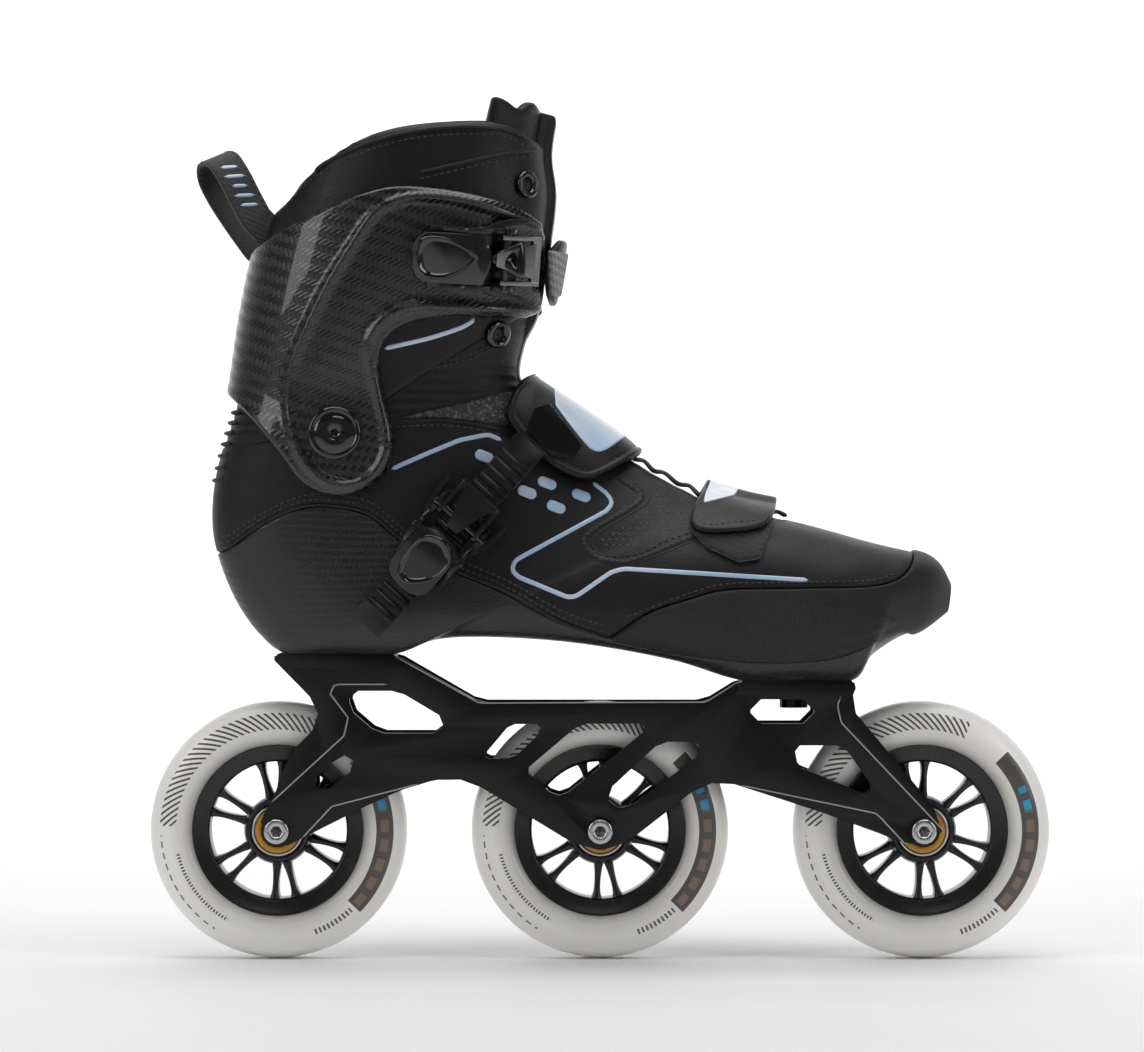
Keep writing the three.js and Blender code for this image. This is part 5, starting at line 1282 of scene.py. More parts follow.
def line_distance(xz, line):
    """Distance to an open line: the least distance to any of its pieces."""
    best = np.full(len(xz), 1e9)
    for p, q in zip(line[:-1], line[1:]):
        side = q - p
        share = np.clip(((xz - p) @ side) / max(side @ side, 1e-18), 0, 1)
        best = np.minimum(best, np.linalg.norm(xz - p - share[:, None] * side, axis=1))
    return best


def cuff_face(table):
    """The cuff's face: rounded at its rim and 4.8 mm over the last, with the bead as a bell of 1.7 mm."""
    xz = table[:, [0, 2]]
    bell = np.exp(-((line_distance(xz, BEAD) / 0.0021) ** 2))
    return rounded_edge(0.0052, 0.0016)(table) - 0.0004 + 0.0017 * bell


cuff_grid = last_grid(0.3, 11.2, 330, -1, 1, 420)
cuff_area = inside_distance(side_xz(cuff_grid.points), CUFF_OUTLINE)
cuff = closed_panel("cuff_moulded", cuff_grid, cuff_area, cuff_face, level(0.0016))
hand_over(cuff, "shaft", "carbon", "cuff", finish=CARBON_GLOSS)


def domed(name, profile, centre, normal, segments=64):
    """A closed profile of (radius, height), in millimetres, turned about a normal at a centre."""
    profile = np.asarray(profile, float) * MM
    normal = np.asarray(normal, float) / np.linalg.norm(normal)
    first = np.cross(normal, [0.3, 0.1, 1.0])
    first /= np.linalg.norm(first)
    second = np.cross(normal, first)
    turn = np.linspace(0, 2 * math.pi, segments, endpoint=False)
    ring = np.cos(turn)[:, None] * first + np.sin(turn)[:, None] * second
    points = centre + profile[:, None, :1] * ring[None] + profile[:, None, 1:] * normal
    return quad_mesh(name, points.reshape(-1, 3), grid_faces(len(profile), segments, wrap_rows=True))


CAP_PROFILE = [[0.05, -4], [1.3, -4], [1.35, 1.3], [1.7, 1.75], [4.5, 1.9], [8.2, 1.75], [8.5, 1.45],
               [8.9, 1.45], [9.3, 1.9], [10.3, 1.9], [11.0, 1.3], [11.2, 0.5], [11.2, -0.9], [4.0, -1.0],
               [4.0, -9.5], [0.05, -9.5]]
for cap_side, cap_sign in (("lateral", -1), ("medial", 1)):
    low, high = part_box("cuff_bolt_" + cap_side)
    face_y = low[1] if cap_sign < 0 else high[1]
    cap_place = np.array([PIVOT[0], face_y - cap_sign * 0.0019, PIVOT[1]])
    cap = domed("cuff_cap_" + cap_side, CAP_PROFILE, cap_place, [0, cap_sign, 0])
    hand_over(cap, "foot", "buckle_plastic", "cuff_bolt_" + cap_side, finish=GLOSS_PLASTIC)
print("cuff:", len(cuff.data.polygons), "faces")

# %% Eyelets
EYELET_PROFILE = [[2.7, 0.0], [5.4, -0.1], [6.0, 0.5], [5.7, 1.3], [4.9, 1.75], [4.0, 1.6], [3.3, 1.1],
                  [2.9, 0.6]]
EYELET_HOLE = [[0.05, -0.3], [2.9, -0.3], [2.9, 0.35], [0.05, 0.15]]
for eyelet_row, eyelet_x, eyelet_z in (("upper", -31.5, 329.0), ("lower", -43.7, 266.0)):
    for eyelet_side, eyelet_sign in (("lateral", -1), ("medial", 1)):
        spot, out = on_side([[eyelet_x * MM, eyelet_z * MM]], eyelet_sign, 0.0006)
        ring_obj = domed(f"{eyelet_row}_eyelet_ring_{eyelet_side}", EYELET_PROFILE, spot[0], out[0], 40)
        hand_over(ring_obj, "shaft", "steel", f"{eyelet_row}_eyelet_{eyelet_side}", finish=GLOSS_PLASTIC)
        # The hole is a thin disc of painted shade that fills the ring.
        hole = domed(f"{eyelet_row}_eyelet_hole_{eyelet_side}", EYELET_HOLE, spot[0], out[0], 24)
        hand_over(hole, "shaft", "steel", finish=PAINTED_HOLE_SHADE)

# %% [markdown]
# ## Seams, stitches and prints
# Each row of stitches is hundreds of tiny seeds, so one seed is made with thirty points and copied along
# its line as arrays. The reflective prints are thin flat ribbons pressed half into the upper.

# %% Stitch lines
def shifted(line, dx, dz):
    """A side-view line moved by (dx, dz)."""
    return [[x + dx, z + dz] for x, z in line]


SEAM_POINTS = [[-160, 175.4], [-156.5, 176.4], [-142.8, 185.4], [-128.7, 191.8], [-116.4, 193.5],
               [-98.2, 190.1], [-83.2, 178.5], [-68.6, 169.5], [-55.5, 163.6], [-39.5, 156.7],
               [-17.2, 144.6], [0, 138.5]]
TOP_STITCH = [[-132, 321.8], [-126, 327.4], [-113.9, 335.6], [-96.1, 342.8], [-78.4, 347.4],
              [-56.2, 349.4], [-40.7, 348.8], [-30.7, 345.2]]
SHAFT_STITCHES = [TOP_STITCH, [[-75, 330.5], [-61.8, 333.8], [-48.5, 337.1], [-35.2, 340.4], [-27, 342]]]
ANKLE_ROW = [[-89.5, 245.7], [-73.9, 250.3], [-56.2, 255.1], [-45, 260.2]]
FOOT_STITCHES = [
    shifted(SEAM_POINTS, 0, 2.6), shifted(SEAM_POINTS, 0.6, 5.0),
    [[-85.4, 226.8], [-68.1, 227.4], [-54.4, 226.1], [-43.5, 223.6]],
    [[12, 147.3], [37.7, 156.9], [52.7, 160.6], [80, 161.3], [111.5, 161.9], [123, 164.3]],
    [[-4.4, 181.4], [1, 186.6], [12.7, 194.6], [15.7, 203.2]],
    [[-2.4, 173.9], [3.4, 172.2], [17.2, 173.6], [25.7, 177.9], [36, 181.6]],
]
for stitch_side, side_name in ((-1, "lateral"), (1, "medial")):
    rows_on_shaft = stitches("shaft_stitches_" + side_name, SHAFT_STITCHES, stitch_side)
    hand_over(rows_on_shaft, "shaft", "strap_fabric", finish=THREAD)
    ankle_row = stitches("ankle_stitches_" + side_name, [ANKLE_ROW, shifted(ANKLE_ROW, 0, 1.7)],
                         stitch_side, -0.35)
    hand_over(ankle_row, None, "strap_fabric", finish=THREAD)
    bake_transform(ankle_row)
    rows_on_foot = stitches("foot_stitches_" + side_name, FOOT_STITCHES, stitch_side)
    hand_over(rows_on_foot, "foot", "strap_fabric", finish=THREAD)
    pipes = [bead(f"pipe_{k}", line, stitch_side, 0.9, 0.8, 0.1) for k, line in enumerate([
        [[-76, 332.9], [-61.8, 336.2], [-48.5, 339.5], [-35.2, 342.8], [-26, 344.6]],
        [[-120.5, 334.4], [-113.9, 338.6], [-96.1, 345.8], [-78.4, 350.2], [-58, 352.3], [-40.7, 351.6],
         [-31, 348.6]],
    ])]
    hand_over(join("shaft_piping_" + side_name, pipes), "shaft", "microfibre", finish=PIPING)
    foot_pipes = [bead(f"foot_pipe_{k}", line, stitch_side, 0.7, 0.6, 0.05) for k, line in enumerate([
        shifted(SEAM_POINTS, 0, 0.3),
        [[-86, 228.9], [-68.1, 229.4], [-54.4, 228], [-42, 225.2]],
    ])]
    hand_over(join("foot_piping_" + side_name, foot_pipes), "foot", "microfibre", finish=PIPING)
print("stitches and piping done")

# %% Reflective lines
PRINT_LINES = {
    "ankle": [[-88, 208.8], [-72.9, 215.4], [-59, 221.2], [-47.2, 223.5], [-41.5, 221]],
    "side": [[-3.4, 203.4], [2.8, 198.6], [5.2, 194.9], [2.8, 191.4], [-35.9, 170.4], [-37.4, 166.5],
             [-34.8, 163.6], [-13.8, 155], [-10.3, 155.4], [4.5, 165.6], [9.8, 167], [36, 165.4],
             [87, 162.2]],
}
DOTS = [[-48.9, 214.2], [-30.9, 199.1], [-22.5, 203], [-8.1, 197.8], [-18.7, 192.9]]


def bent_line(line, corner=1.7):
    """Straight runs joined by short bends. Each corner is cut back along both its runs, and one point in
    the middle of the cut rounds it."""
    points = np.array(line, float)
    run = np.diff(points, axis=0)
    length = np.linalg.norm(run, axis=1, keepdims=True)
    cut = run / length * np.minimum(corner, length / 2.3)
    first, last = points[:-1] + cut, points[1:] - cut
    first[0], last[-1] = points[0], points[-1]
    bends = (last[:-1] + first[1:] + 2 * points[1:-1]) / 4
    bends = np.vstack([bends, bends[-1:] * np.nan])
    laid = np.stack([first, first * 0.67 + last * 0.33, first * 0.33 + last * 0.67, last, bends],
                    1).reshape(-1, 2)
    return laid[:-1]


def dot_line(spot):
    """The short slanted line of one dot."""
    x, z = spot
    return [[x - 3.9, z + 1.5], [x - 1.3, z + 0.5], [x + 1.3, z - 0.5], [x + 3.9, z - 1.5]]


prints = [bead("print_" + key, bent_line(line), -1, 0.95, 0.22, 0.0) for key, line in PRINT_LINES.items()]
prints += [bead(f"dot_{k}", dot_line(spot), -1, 2.3, 0.25, 0.0, step=0.5) for k, spot in enumerate(DOTS)]
hand_over(join("reflective_lines", prints), "foot", "strap_fabric", finish=REFLECTIVE)
SHAFT_PRINT_LINE = [[-91, 259.4], [-72.9, 263.6], [-60, 267.8], [-54.6, 270.6], [-53, 272.6]]
shaft_print = bead("reflective_line_shaft", SHAFT_PRINT_LINE, -1, 0.95, 0.22)
hand_over(shaft_print, "shaft", "strap_fabric", finish=REFLECTIVE)

# %% Perforations
perf_x, perf_z = np.meshgrid(np.arange(-2.0, 44.0, 2.9), np.arange(170.0, 206.0, 2.3))
perf_x = perf_x + 1.45 * (np.round(perf_z / 2.3) % 2)
PERF_LINE = [[8, 205], [16, 199.6], [16.9, 196], [11.4, 191.8], [-4, 182.6], [-7, 177.8], [-1.3, 171.6],
             [9.6, 169.8], [18.7, 172.3], [34.2, 178.7], [41, 181]]
PERF_AREA = rounded([[12.6, 206], [20, 201], [22, 194.5], [15, 189.4], [-0.5, 180.2], [-1.5, 177.4],
                     [1.3, 175], [9.6, 173.8], [17, 176.3], [34, 183], [41, 185], [41, 193],
                     [27, 201]], 1)
perf_spots = np.stack([perf_x.ravel(), perf_z.ravel()], 1) * MM
perf_spots = perf_spots[inside_distance(perf_spots, PERF_AREA) > 0.001]
for perf_side, side_name in ((-1, "lateral"), (1, "medial")):
    spots, outs = on_side(perf_spots, perf_side, 0.00002)
    along = np.cross(outs, [0.0, 0.0, 1.0])
    along /= np.linalg.norm(along, axis=1, keepdims=True)
    bumps = seeds("perforations_" + side_name, spots, along, outs, 0.0005, 0.0005, 0.0002)
    hand_over(bumps, "foot", "microfibre", finish=PERFORATION)
    ridges = [bead("ridge_a", PERF_LINE, perf_side, 1.5, 0.55, -0.1),
              bead("ridge_b", shifted(PERF_LINE, 3.4, -0.4), perf_side, 0.7, 0.3, -0.1)]
    hand_over(join("patch_border_" + side_name, ridges), "foot", "microfibre", finish=PIPING)
    border = stitches("patch_stitches_" + side_name, [PERF_LINE], perf_side, 0.5, 2.3, 0.9, 0.34)
    hand_over(border, "foot", "microfibre", finish=THREAD)
print("perforations:", len(perf_spots), "on each side")

# %% Ankle patch and heel bellows
sparkle, tree, shader = new_finish("ankle_patch", (0.02, 0.02, 0.021), 0.3, Specular_IOR_Level=0.6)
flakes = add_node(tree, "ShaderNodeTexVoronoi", {"Vector": object_place(tree), "Scale": 900.0})
bright = add_node(tree, "ShaderNodeMapRange", {0: flakes.outputs["Color"], 1: 0.55, 2: 0.95}).outputs[0]
tint(tree, shader, bright, (0.004, 0.004, 0.005), (0.1, 0.1, 0.105))
gloss(tree, shader, bright, 0.5, 0.22)
relief(tree, shader, flakes.outputs["Distance"], 0.0004)
PATCH_OUTLINE = rounded([[-90, 230.4], [-85, 234.5], [-73.9, 238.4], [-57.3, 241.4], [-34, 242.6],
                         [-34, 226.5], [-54.4, 229.5], [-68.1, 230.8], [-84, 230.2]], 1)
patch_area = np.minimum(inside_distance(side_xz(boot.points), PATCH_OUTLINE), beside_throat - 0.001)
patch_area = np.minimum(patch_area, -above_flex - 0.0003)
ankle_patch = closed_panel("ankle_patch_sewn", boot, patch_area, rounded_edge(0.0006, 0.0005),
                           level(-0.0002))
hand_over(ankle_patch, "foot", "microfibre", finish=sparkle)


def bellows(name, height):
    """One rib of the rubber bellows behind the ankle: a tube round the heel side of the last, at the height
    of its middle, that rises towards its ends."""
    c = np.concatenate([np.linspace(0.88, 1.0, 30), np.linspace(-1.0, -0.88, 30)[1:]])
    t = np.full(len(c), height)
    rows = [rib_loops(np.array([value]), np.array([around]))[0][0, 0] for value, around in zip(t, c)]
    path = np.array(rows)
    out = np.stack([np.full(len(path), -1.0), path[:, 1] * 18, np.full(len(path), 0.15)], 1)
    out /= np.linalg.norm(out, axis=1, keepdims=True)
    swell = 0.0004 + 0.0013 * np.sin(np.linspace(0, math.pi, len(path) + 2))
    return tube(name, path, out, 0.0009, swell, sides=8)


ribs_made = [bellows(f"bellows_{k}", value) for k, value in enumerate(np.linspace(5.1, 6.9, 7))]
heel_bellows = join("heel_bellows", ribs_made)
hand_over(heel_bellows, None, "microfibre", finish=TOE_RUBBER)
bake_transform(heel_bellows)

# %% [markdown]
# ## Straps
# Two straps cross the instep. The upper one is a foam pad in leather, pulled down by a toothed ladder and a
# ratchet. The lower one closes with hook tape: its outer end lifts off the patch below it. Both are cut
# from the last too, at a few millimetres over it, so they follow the boot exactly.

# %% Instep pad, toe strap and hook patch
def strap(name, grid, area, low, high, radius):
    """A strap between two heights over the last, with rounded long edges."""
    return closed_panel(name, grid, area, rounded_edge(high, radius), level(low))


INSTEP_OUTLINE = rounded([[-30, 251.2], [-22.7, 247.3], [22, 222], [20.4, 215], [12.4, 210.8],
                          [-1.4, 203.9], [-9, 202.4], [-21.8, 208.9], [-30.8, 217.7], [-39.6, 226.7],
                          [-41.6, 233.5], [-37, 245]], 2)
strap_grid = last_grid(3.6, 19, 260, -0.85, 0.85, 330)
strap_xz = side_xz(strap_grid.points)
strap_y = strap_grid.points[..., 1]
instep_area = inside_distance(strap_xz, INSTEP_OUTLINE)


def pad_face(table):
    """The pad's face: a rounded edge, a sewn groove 3 mm inside it, and foam that swells by 0.7 mm."""
    d = table[:, 8]
    groove = np.exp(-(((d - 0.0026) / 0.0006) ** 2)) * 0.0006
    return rounded_edge(0.0064, 0.0014)(table) - groove + 0.0007 * smooth_step((d - 0.003) / 0.006)


instep_pad = closed_panel("instep_pad_foam", strap_grid, instep_area, pad_face, level(0.0035))
hand_over(instep_pad, "instep_strap", "padding", "instep_pad", finish=SMOOTH_LEATHER, padded=0.7)
INSTEP_PRINT = rounded([[-26.8, 236.8], [-8.4, 215], [-4, 212.4], [0, 213], [8.5, 218.5], [14, 228],
                        [-16, 252]], 1)
instep_print_area = np.minimum(inside_distance(strap_xz, INSTEP_PRINT), 0.03 - strap_y)
instep_print = strap("instep_print", strap_grid, instep_print_area, 0.0066, 0.0073, 0.00015)
hand_over(instep_print, "instep_strap", "padding", finish=REFLECTIVE)

TOE_STRAP_OUTLINE = rounded([[46, 212], [79.5, 203], [76.8, 194.5], [71.6, 183.6], [66.5, 179.9],
                             [45, 178.6], [38, 181.2], [37.5, 185.4], [42.5, 196.9]], 2)
toe_area = inside_distance(strap_xz, TOE_STRAP_OUTLINE)


def arched(height, radius=None):
    """A strap face at a height over the last, lifted by up to 2.6 mm over the middle of the foot, where the
    strap spans the laces."""
    def face(table):
        base = level(height)(table) if radius is None else rounded_edge(height, radius)(table)
        return base + 0.0026 * (1 - smooth_step((np.abs(table[:, 1]) - 0.003) / 0.0095))
    return face


toe_strap = closed_panel("toe_strap_sewn", strap_grid, toe_area, arched(0.0061, 0.0009), arched(0.0035))
hand_over(toe_strap, None, "strap_fabric", "toe_strap", "toe_strap_flap", finish=SMOOTH_LEATHER)
TOE_PRINT = rounded([[47, 214], [45.4, 205], [42.6, 189.6], [44, 189.6], [70, 195.4], [72, 196], [75, 204]],
                    1)
print_area = np.minimum(inside_distance(strap_xz, TOE_PRINT), 0.016 - strap_y)
toe_print = closed_panel("toe_strap_print", strap_grid, print_area, arched(0.0064, 0.00015), arched(0.0058))
hand_over(toe_print, None, "strap_fabric", finish=REFLECTIVE)
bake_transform(toe_strap)
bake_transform(toe_print)
HOOK_OUTLINE = rounded([[38, 194], [38, 178.6], [64.8, 166.6], [72.6, 184], [75.6, 193]], 1)
hook_area = np.minimum(inside_distance(strap_xz, HOOK_OUTLINE), -0.0222 - strap_y)
hook_patch = strap("hook_patch_woven", strap_grid, hook_area, 0.0001, 0.0026, 0.0008)
hand_over(hook_patch, "foot", "strap_fabric", "hook_patch", finish=LINING)

# %% Stitches round the straps
SILHOUETTE = np.vstack([rib_values(np.linspace(0, LAST_RIB, 120))[:, 0:2],
                        rib_values(np.linspace(LAST_RIB, 0, 120))[:, 2:4]])


def strap_stitches(name, outline, side, offset, inset):
    """Stitches that follow a closed outline, drawn in towards its middle by inset millimetres."""
    middle = outline.mean(axis=0)
    arm = outline - middle
    length = np.linalg.norm(arm, axis=1, keepdims=True)
    loop = middle + arm * (1 - inset * MM / length)
    loop = np.vstack([loop, loop[:1]])
    curve, _ = even_steps(loop, 2.5 * MM)
    points, normals = on_side(curve, side, offset * MM)
    good = (np.abs(points[:, 1]) > 0.0185) & (inside_distance(curve, SILHOUETTE) > 0.003)
    tangent, out, _ = frames_along(points, normals)
    return seeds(name, points[good], tangent[good], out[good], 0.00095, 0.0003, 0.0003)


for strap_side, side_name in ((-1, "lateral"), (1, "medial")):
    row = strap_stitches("instep_stitches_" + side_name, INSTEP_OUTLINE, strap_side, 5.9, 3.4)
    hand_over(row, "instep_strap", "strap_fabric", finish=THREAD)
    row = strap_stitches("toe_stitches_" + side_name, TOE_STRAP_OUTLINE, strap_side, 6.1, 2.6)
    hand_over(row, "toe_flap" if strap_side < 0 else "foot", "strap_fabric", finish=THREAD)
print("straps:", len(instep_pad.data.polygons), len(toe_strap.data.polygons), "faces")

# %% Shin pad and its webbing
shin_grid = last_grid(1.2, 5.6, 130, -0.6, 0.6, 260)
shin_outline = rounded([[-29, 309.5], [-2, 311.5], [-2, 270.5], [-29, 272.5]], 2)
shin_area = np.minimum(inside_distance(side_xz(shin_grid.points), shin_outline),
                       0.03 - shin_grid.points[..., 1])
shin_pad = closed_panel("shin_pad_foam", shin_grid, shin_area, rounded_edge(0.0092, 0.0015), level(0.0061))
hand_over(shin_pad, "shaft", "padding", "shin_pad", finish=SMOOTH_LEATHER, padded=0.6)
web_outline = np.array([[-30, 303], [-8, 301], [-8, 286], [-30, 284.5]]) * MM
web_area = np.minimum(inside_distance(side_xz(shin_grid.points), web_outline),
                      -0.0102 - shin_grid.points[..., 1])
webbing = closed_panel("cuff_webbing_ribbed", shin_grid, web_area, rounded_edge(0.0114, 0.0006),
                       level(0.0094))
hand_over(webbing, "shaft", "grey_webbing", "cuff_strap_webbing", finish=GREY_WEBBING)

# %% Laces
def lace_path(phase):
    """A zigzag over the tongue: it climbs the front line of the last while y swings from side to side."""
    t = np.linspace(8.2, 17.5, 200)
    rib = rib_values(t)
    swing = np.sin((t - 8.2) * math.pi + phase)
    lift = 0.0019 + 0.0008 * np.cos((t - 8.2) * 2 * math.pi + 2 * phase)
    path = np.stack([rib[:, 0], 0.0085 * swing, rib[:, 1] + lift], axis=1)
    return path


lace_tubes = []
for phase in (0.0, math.pi):
    path = lace_path(phase)
    out = np.broadcast_to([0.5, 0.0, 0.86], path.shape)
    lace_tubes.append(tube(f"lace_{phase > 0}", path, out, 0.0013, 0.0009, sides=8))
hand_over(join("laces_flat", lace_tubes), "foot", "strap_fabric", "lace", finish=STRAP_CLOTH)

# %% Pull loop
LOOP = smooth_line([[-146.5, 303], [-157, 312.8], [-166.5, 323.4], [-171.3, 332.4], [-169.6, 339.4],
                    [-164.9, 342.6], [-158, 342.2], [-152, 335.5], [-147.4, 327], [-142.4, 318.6]], 8)
loop_path, _ = even_steps(np.stack([LOOP[:, 0], np.zeros(len(LOOP)), LOOP[:, 1]], 1), 0.0015)
loop_tangent = np.gradient(loop_path, axis=0)
loop_out = np.stack([-loop_tangent[:, 2], np.zeros(len(loop_path)), loop_tangent[:, 0]], 1)
loop_out /= np.linalg.norm(loop_out, axis=1, keepdims=True)
LOOP_FOOT = Vector((-0.148, 0, 0.308))
LOOP_TURN = Matrix.Rotation(math.radians(-62), 3, Vector((-0.165, 0, 0.343)) - LOOP_FOOT)
turn_rows = np.array(LOOP_TURN).T
loop_path = (loop_path - np.array(LOOP_FOOT)) @ turn_rows + np.array(LOOP_FOOT)
loop_out = loop_out @ turn_rows
loop_side = np.array([0.0, 1.0, 0.0]) @ turn_rows
tucked = np.linspace(0, 1, 8)[:, None]
first_leg = np.array([-0.1385, loop_path[0, 1] * 0.5, 0.298]) * (1 - tucked) + loop_path[0] * tucked
last_leg = loop_path[-1] * (1 - tucked) + np.array([-0.136, loop_path[-1, 1] * 0.5, 0.305]) * tucked
loop_path = np.vstack([first_leg[:-1], loop_path, last_leg[1:]])
loop_out = np.vstack([np.repeat(loop_out[:1], 7, 0), loop_out, np.repeat(loop_out[-1:], 7, 0)])
loop_tangent = np.gradient(loop_path, axis=0)
pull_loop = tube("pull_loop_webbing", loop_path, loop_out, 0.0075, 0.0009, sides=24, power=8, blunt=True)
hand_over(pull_loop, "shaft", "strap_fabric", "pull_loop", finish=STRAP_CLOTH)
edge_rows = []
for row_y in (-0.0062, 0.0062):
    tangent, out, _ = frames_along(loop_path, loop_out)
    for face in (-1, 1):
        spots = loop_path[2:-2:2] + out[2:-2:2] * face * 0.0009 + loop_side * row_y
        edge_rows.append(seeds("row", spots, tangent[2:-2:2], out[2:-2:2], 0.0009, 0.0003, 0.0003))
hand_over(join("pull_loop_stitches", edge_rows), "shaft", "strap_fabric", finish=THREAD)
marks = []
for k, (step, reach) in enumerate(((12, 4.0), (15, 4.6), (18, 3.4), (21, 4.6), (24, 3.8))):
    out = loop_out[-step]
    for face in (-1, 1):
        across = loop_side + 0.35 * loop_tangent[-step] / np.linalg.norm(loop_tangent[-step])
        bar = loop_path[-step] + face * out * 0.00092 + np.linspace(-reach, reach, 6)[:, None] * MM * across
        marks.append(tube(f"mark_{k}_{face}", bar, np.broadcast_to(out, bar.shape), 0.0008, 0.00015,
                          sides=6))
hand_over(join("pull_loop_marks", marks), "shaft", "strap_fabric", finish=REFLECTIVE)
print("loop and laces done")

# %% [markdown]
# ## Buckles
# Both buckles are moulded. Their plates, pins and levers keep the CAD model's shape and its pivots, with
# rounded edges that make them look moulded rather than cut.

# %% Buckle parts
BUCKLE_PARTS = [
    ("cuff_buckle_base", "cuff_base_moulded", 0.5, 3, "shaft", "buckle_plastic", BUCKLE_PLASTIC),
    ("cuff_buckle_lever", "cuff_lever_moulded", 0.8, 3, "cuff_lever", "buckle_plastic", GLOSS_PLASTIC),
    ("cuff_buckle_bail", "cuff_bail_cast", 0.4, 3, "cuff_bail", "steel", BRACKET_STEEL),
    ("cuff_buckle_pin", "cuff_pin_turned", 0.3, 2, "shaft", "steel", GLOSS_PLASTIC),
    ("cuff_buckle_bail_pin", "cuff_bail_pin_turned", 0.3, 2, "shaft", "steel", GLOSS_PLASTIC),
    ("instep_buckle_base", "instep_base_moulded", 0.5, 3, "foot", "buckle_plastic", BUCKLE_PLASTIC),
    ("instep_buckle_lever", "instep_lever_moulded", 0.8, 3, "instep_lever", "buckle_plastic",
     BUCKLE_PLASTIC),
    ("instep_release", "instep_release_moulded", 0.5, 3, "instep_bracket", "buckle_plastic",
     BUCKLE_PLASTIC),
    ("instep_buckle_pin", "instep_pin_turned", 0.3, 2, "foot", "steel", GLOSS_PLASTIC),
    ("instep_release_pin", "instep_release_pin_turned", 0.3, 2, "foot", "steel", GLOSS_PLASTIC),
    ("instep_ladder", "instep_ladder_moulded", 0.25, 2, "instep_strap", "buckle_plastic", BUCKLE_PLASTIC),
    ("instep_strap_holder", "strap_holder_moulded", 0.6, 3, "instep_strap", "buckle_plastic",
     GLOSS_PLASTIC),
]
for node, name, edge, steps, body, slot_name, finish in BUCKLE_PARTS:
    hand_over(softened(node, name, edge, steps), body, slot_name, node, finish=finish)

# %% Raised rims on the levers
def outer_plane(node):
    """The plane that fits the outer face of a CAD node: y = a + b x + c z, by least squares over the
    centres of the faces that look to the lateral side."""
    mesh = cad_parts[node].data
    count = len(mesh.polygons)
    centres, normals, sizes = np.empty(count * 3), np.empty(count * 3), np.empty(count)
    mesh.polygons.foreach_get("center", centres)
    mesh.polygons.foreach_get("normal", normals)
    mesh.polygons.foreach_get("area", sizes)
    centres, normals = centres.reshape(-1, 3), normals.reshape(-1, 3)
    kept = (normals[:, 1] < -0.75) & (centres[:, 1] < np.quantile(centres[:, 1], 0.6))
    weight = np.sqrt(sizes[kept])[:, None]
    table = np.stack([np.ones(kept.sum()), centres[kept, 0], centres[kept, 2]], 1)
    return np.linalg.lstsq(table * weight, centres[kept, 1:2] * weight, rcond=None)[0].ravel()


def plate_on(name, outline_mm, plane, heights, shrink):
    """A closed moulded plate on a plane: rings of the outline, drawn in by shrink and raised by heights
    in millimetres, with a fan of faces over each end."""
    loop = rounded(outline_mm, 2)
    middle = loop.mean(axis=0)
    rings = []
    for rise, inward in zip(heights, shrink):
        xz = middle + (loop - middle) * inward
        y = plane[0] + plane[1] * xz[:, 0] + plane[2] * xz[:, 1] - rise * MM
        rings.append(np.stack([xz[:, 0], y, xz[:, 1]], 1))
    points = np.concatenate(rings)
    return quad_mesh(name, points, grid_faces(len(rings), len(loop), wrap_rows=True))


LEVER_RIM = [[-77, 300.5], [-74, 305], [-66, 305.4], [-58, 302], [-51, 297.5], [-51, 295.4], [-57, 290.4],
             [-65, 287], [-74, 287.6], [-77, 292]]
RIM_RISE = (-1.0, 0.5, 0.9, 0.9, 0.3, 0.15, -1.0)
RIM_SHRINK = (1.0, 1.0, 0.96, 0.88, 0.82, 0.74, 0.7)
cuff_rim = plate_on("cuff_lever_rim", LEVER_RIM, outer_plane("cuff_buckle_lever"), RIM_RISE, RIM_SHRINK)
hand_over(cuff_rim, "cuff_lever", "buckle_plastic", finish=GLOSS_PLASTIC)
BAIL_FAN = [[-46.5, 297.5], [-41, 300.4], [-33, 304], [-31.4, 303], [-31.4, 288.6], [-33, 287.6],
            [-41, 292.4], [-46.5, 295]]
fan_plane = outer_plane("cuff_buckle_bail")
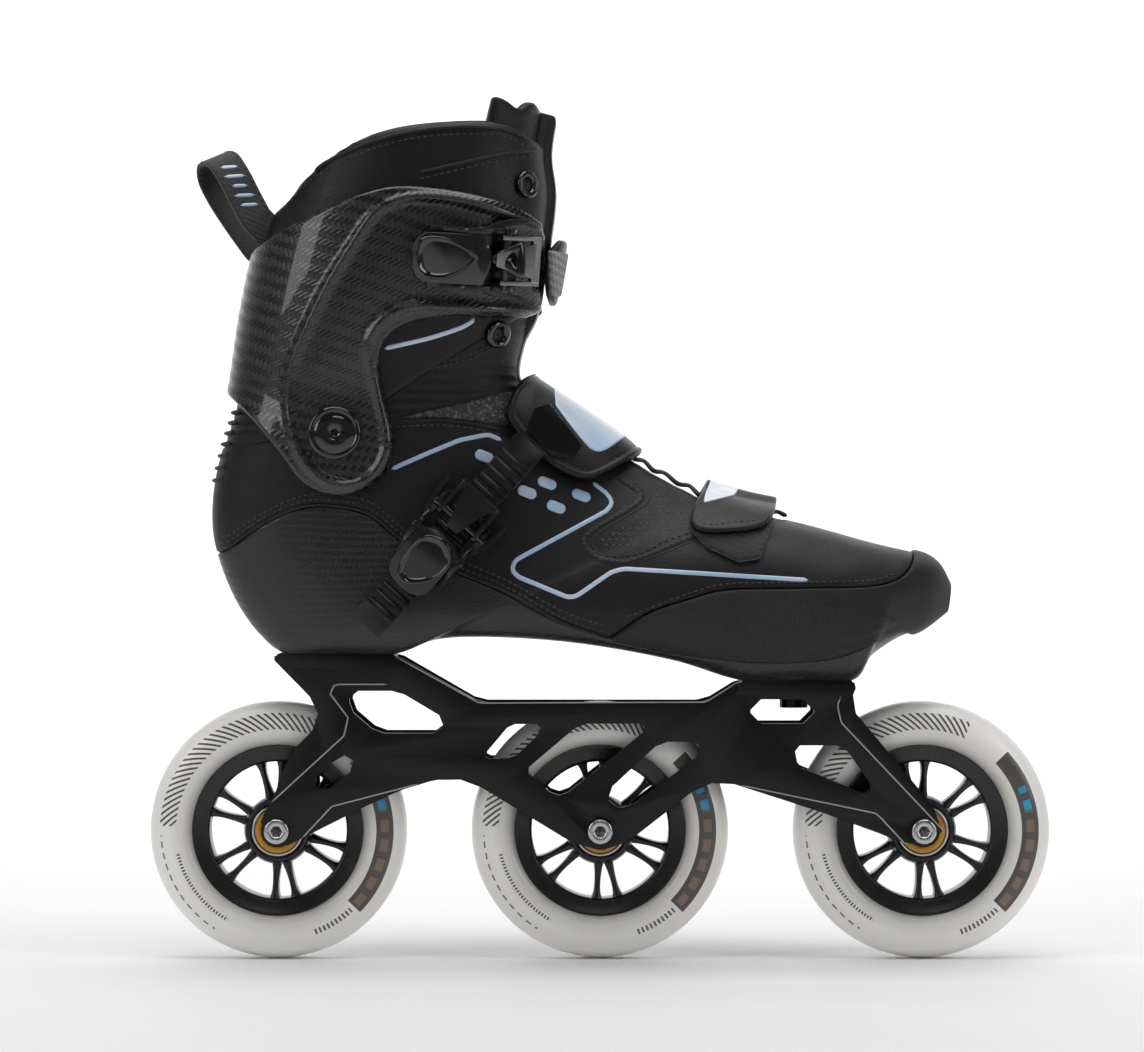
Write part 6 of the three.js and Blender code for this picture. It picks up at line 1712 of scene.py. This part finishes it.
bail_fan = plate_on("cuff_bail_cover", BAIL_FAN, fan_plane, (-0.8, 0.3, 0.9, 1.1), (1.0, 1.0, 0.8, 0.12))
hand_over(bail_fan, "cuff_bail", "buckle_plastic", finish=GLOSS_PLASTIC)
INSTEP_RIM = [[-85, 162], [-80, 160], [-70, 161.5], [-63, 167], [-62, 175], [-66, 180], [-73, 182],
              [-80, 176], [-85, 168]]
instep_rim = plate_on("instep_lever_rim", INSTEP_RIM, outer_plane("instep_buckle_lever"), RIM_RISE,
                      RIM_SHRINK)
hand_over(instep_rim, "instep_lever", "buckle_plastic", finish=GLOSS_PLASTIC)
print("lever planes:", np.round(outer_plane("cuff_buckle_lever"), 3), np.round(fan_plane, 3))

# %% Carried-over steel parts
STEEL_NODES = ("rear_bearing_sleeve", "middle_bearing_sleeve", "front_bearing_sleeve", "rear_mount_bolt",
               "rear_mount_washer", "front_mount_bolt", "front_mount_washer")
for node in STEEL_NODES:
    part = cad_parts[node]
    for slot in part.material_slots:
        slot.material = BRIGHT_STEEL if "sleeve" in node else BLACK_STEEL
print("buckles and steel parts done")

# %% [markdown]
# ## The stage and the finish
# The skate stands on a pale sheet that rises behind it.

# %% Floor
def floor_sheet():
    """A pale sheet that lies flat and rises all round in a wide curve: a profile of radius and height,
    carried round a point in front of the skate, so that the wall behind it is the nearest."""
    radius = np.array([0.001, 0.5, 1.5, 3.0, 4.0, 4.3, 4.5, 4.65, 4.75, 4.8])
    height = np.array([0.0, 0.0, 0.0, 0.0, 0.0, 0.05, 0.16, 0.4, 0.8, 2.4])
    turn = np.linspace(0, 2 * math.pi, 96, endpoint=False)
    points = np.stack(np.broadcast_arrays(radius[:, None] * np.cos(turn),
                                          radius[:, None] * np.sin(turn) - 1.5,
                                          height[:, None] - 0.0002), -1).reshape(-1, 3)
    quads = grid_faces(len(radius), len(turn))
    return mesh_object("floor", points, quads.ravel(), 4 * np.arange(len(quads)))


floor = floor_sheet()
material, tree, shader = new_finish("floor_paint", (0.9, 0.9, 0.9), 0.7)
floor.data.materials.append(material)
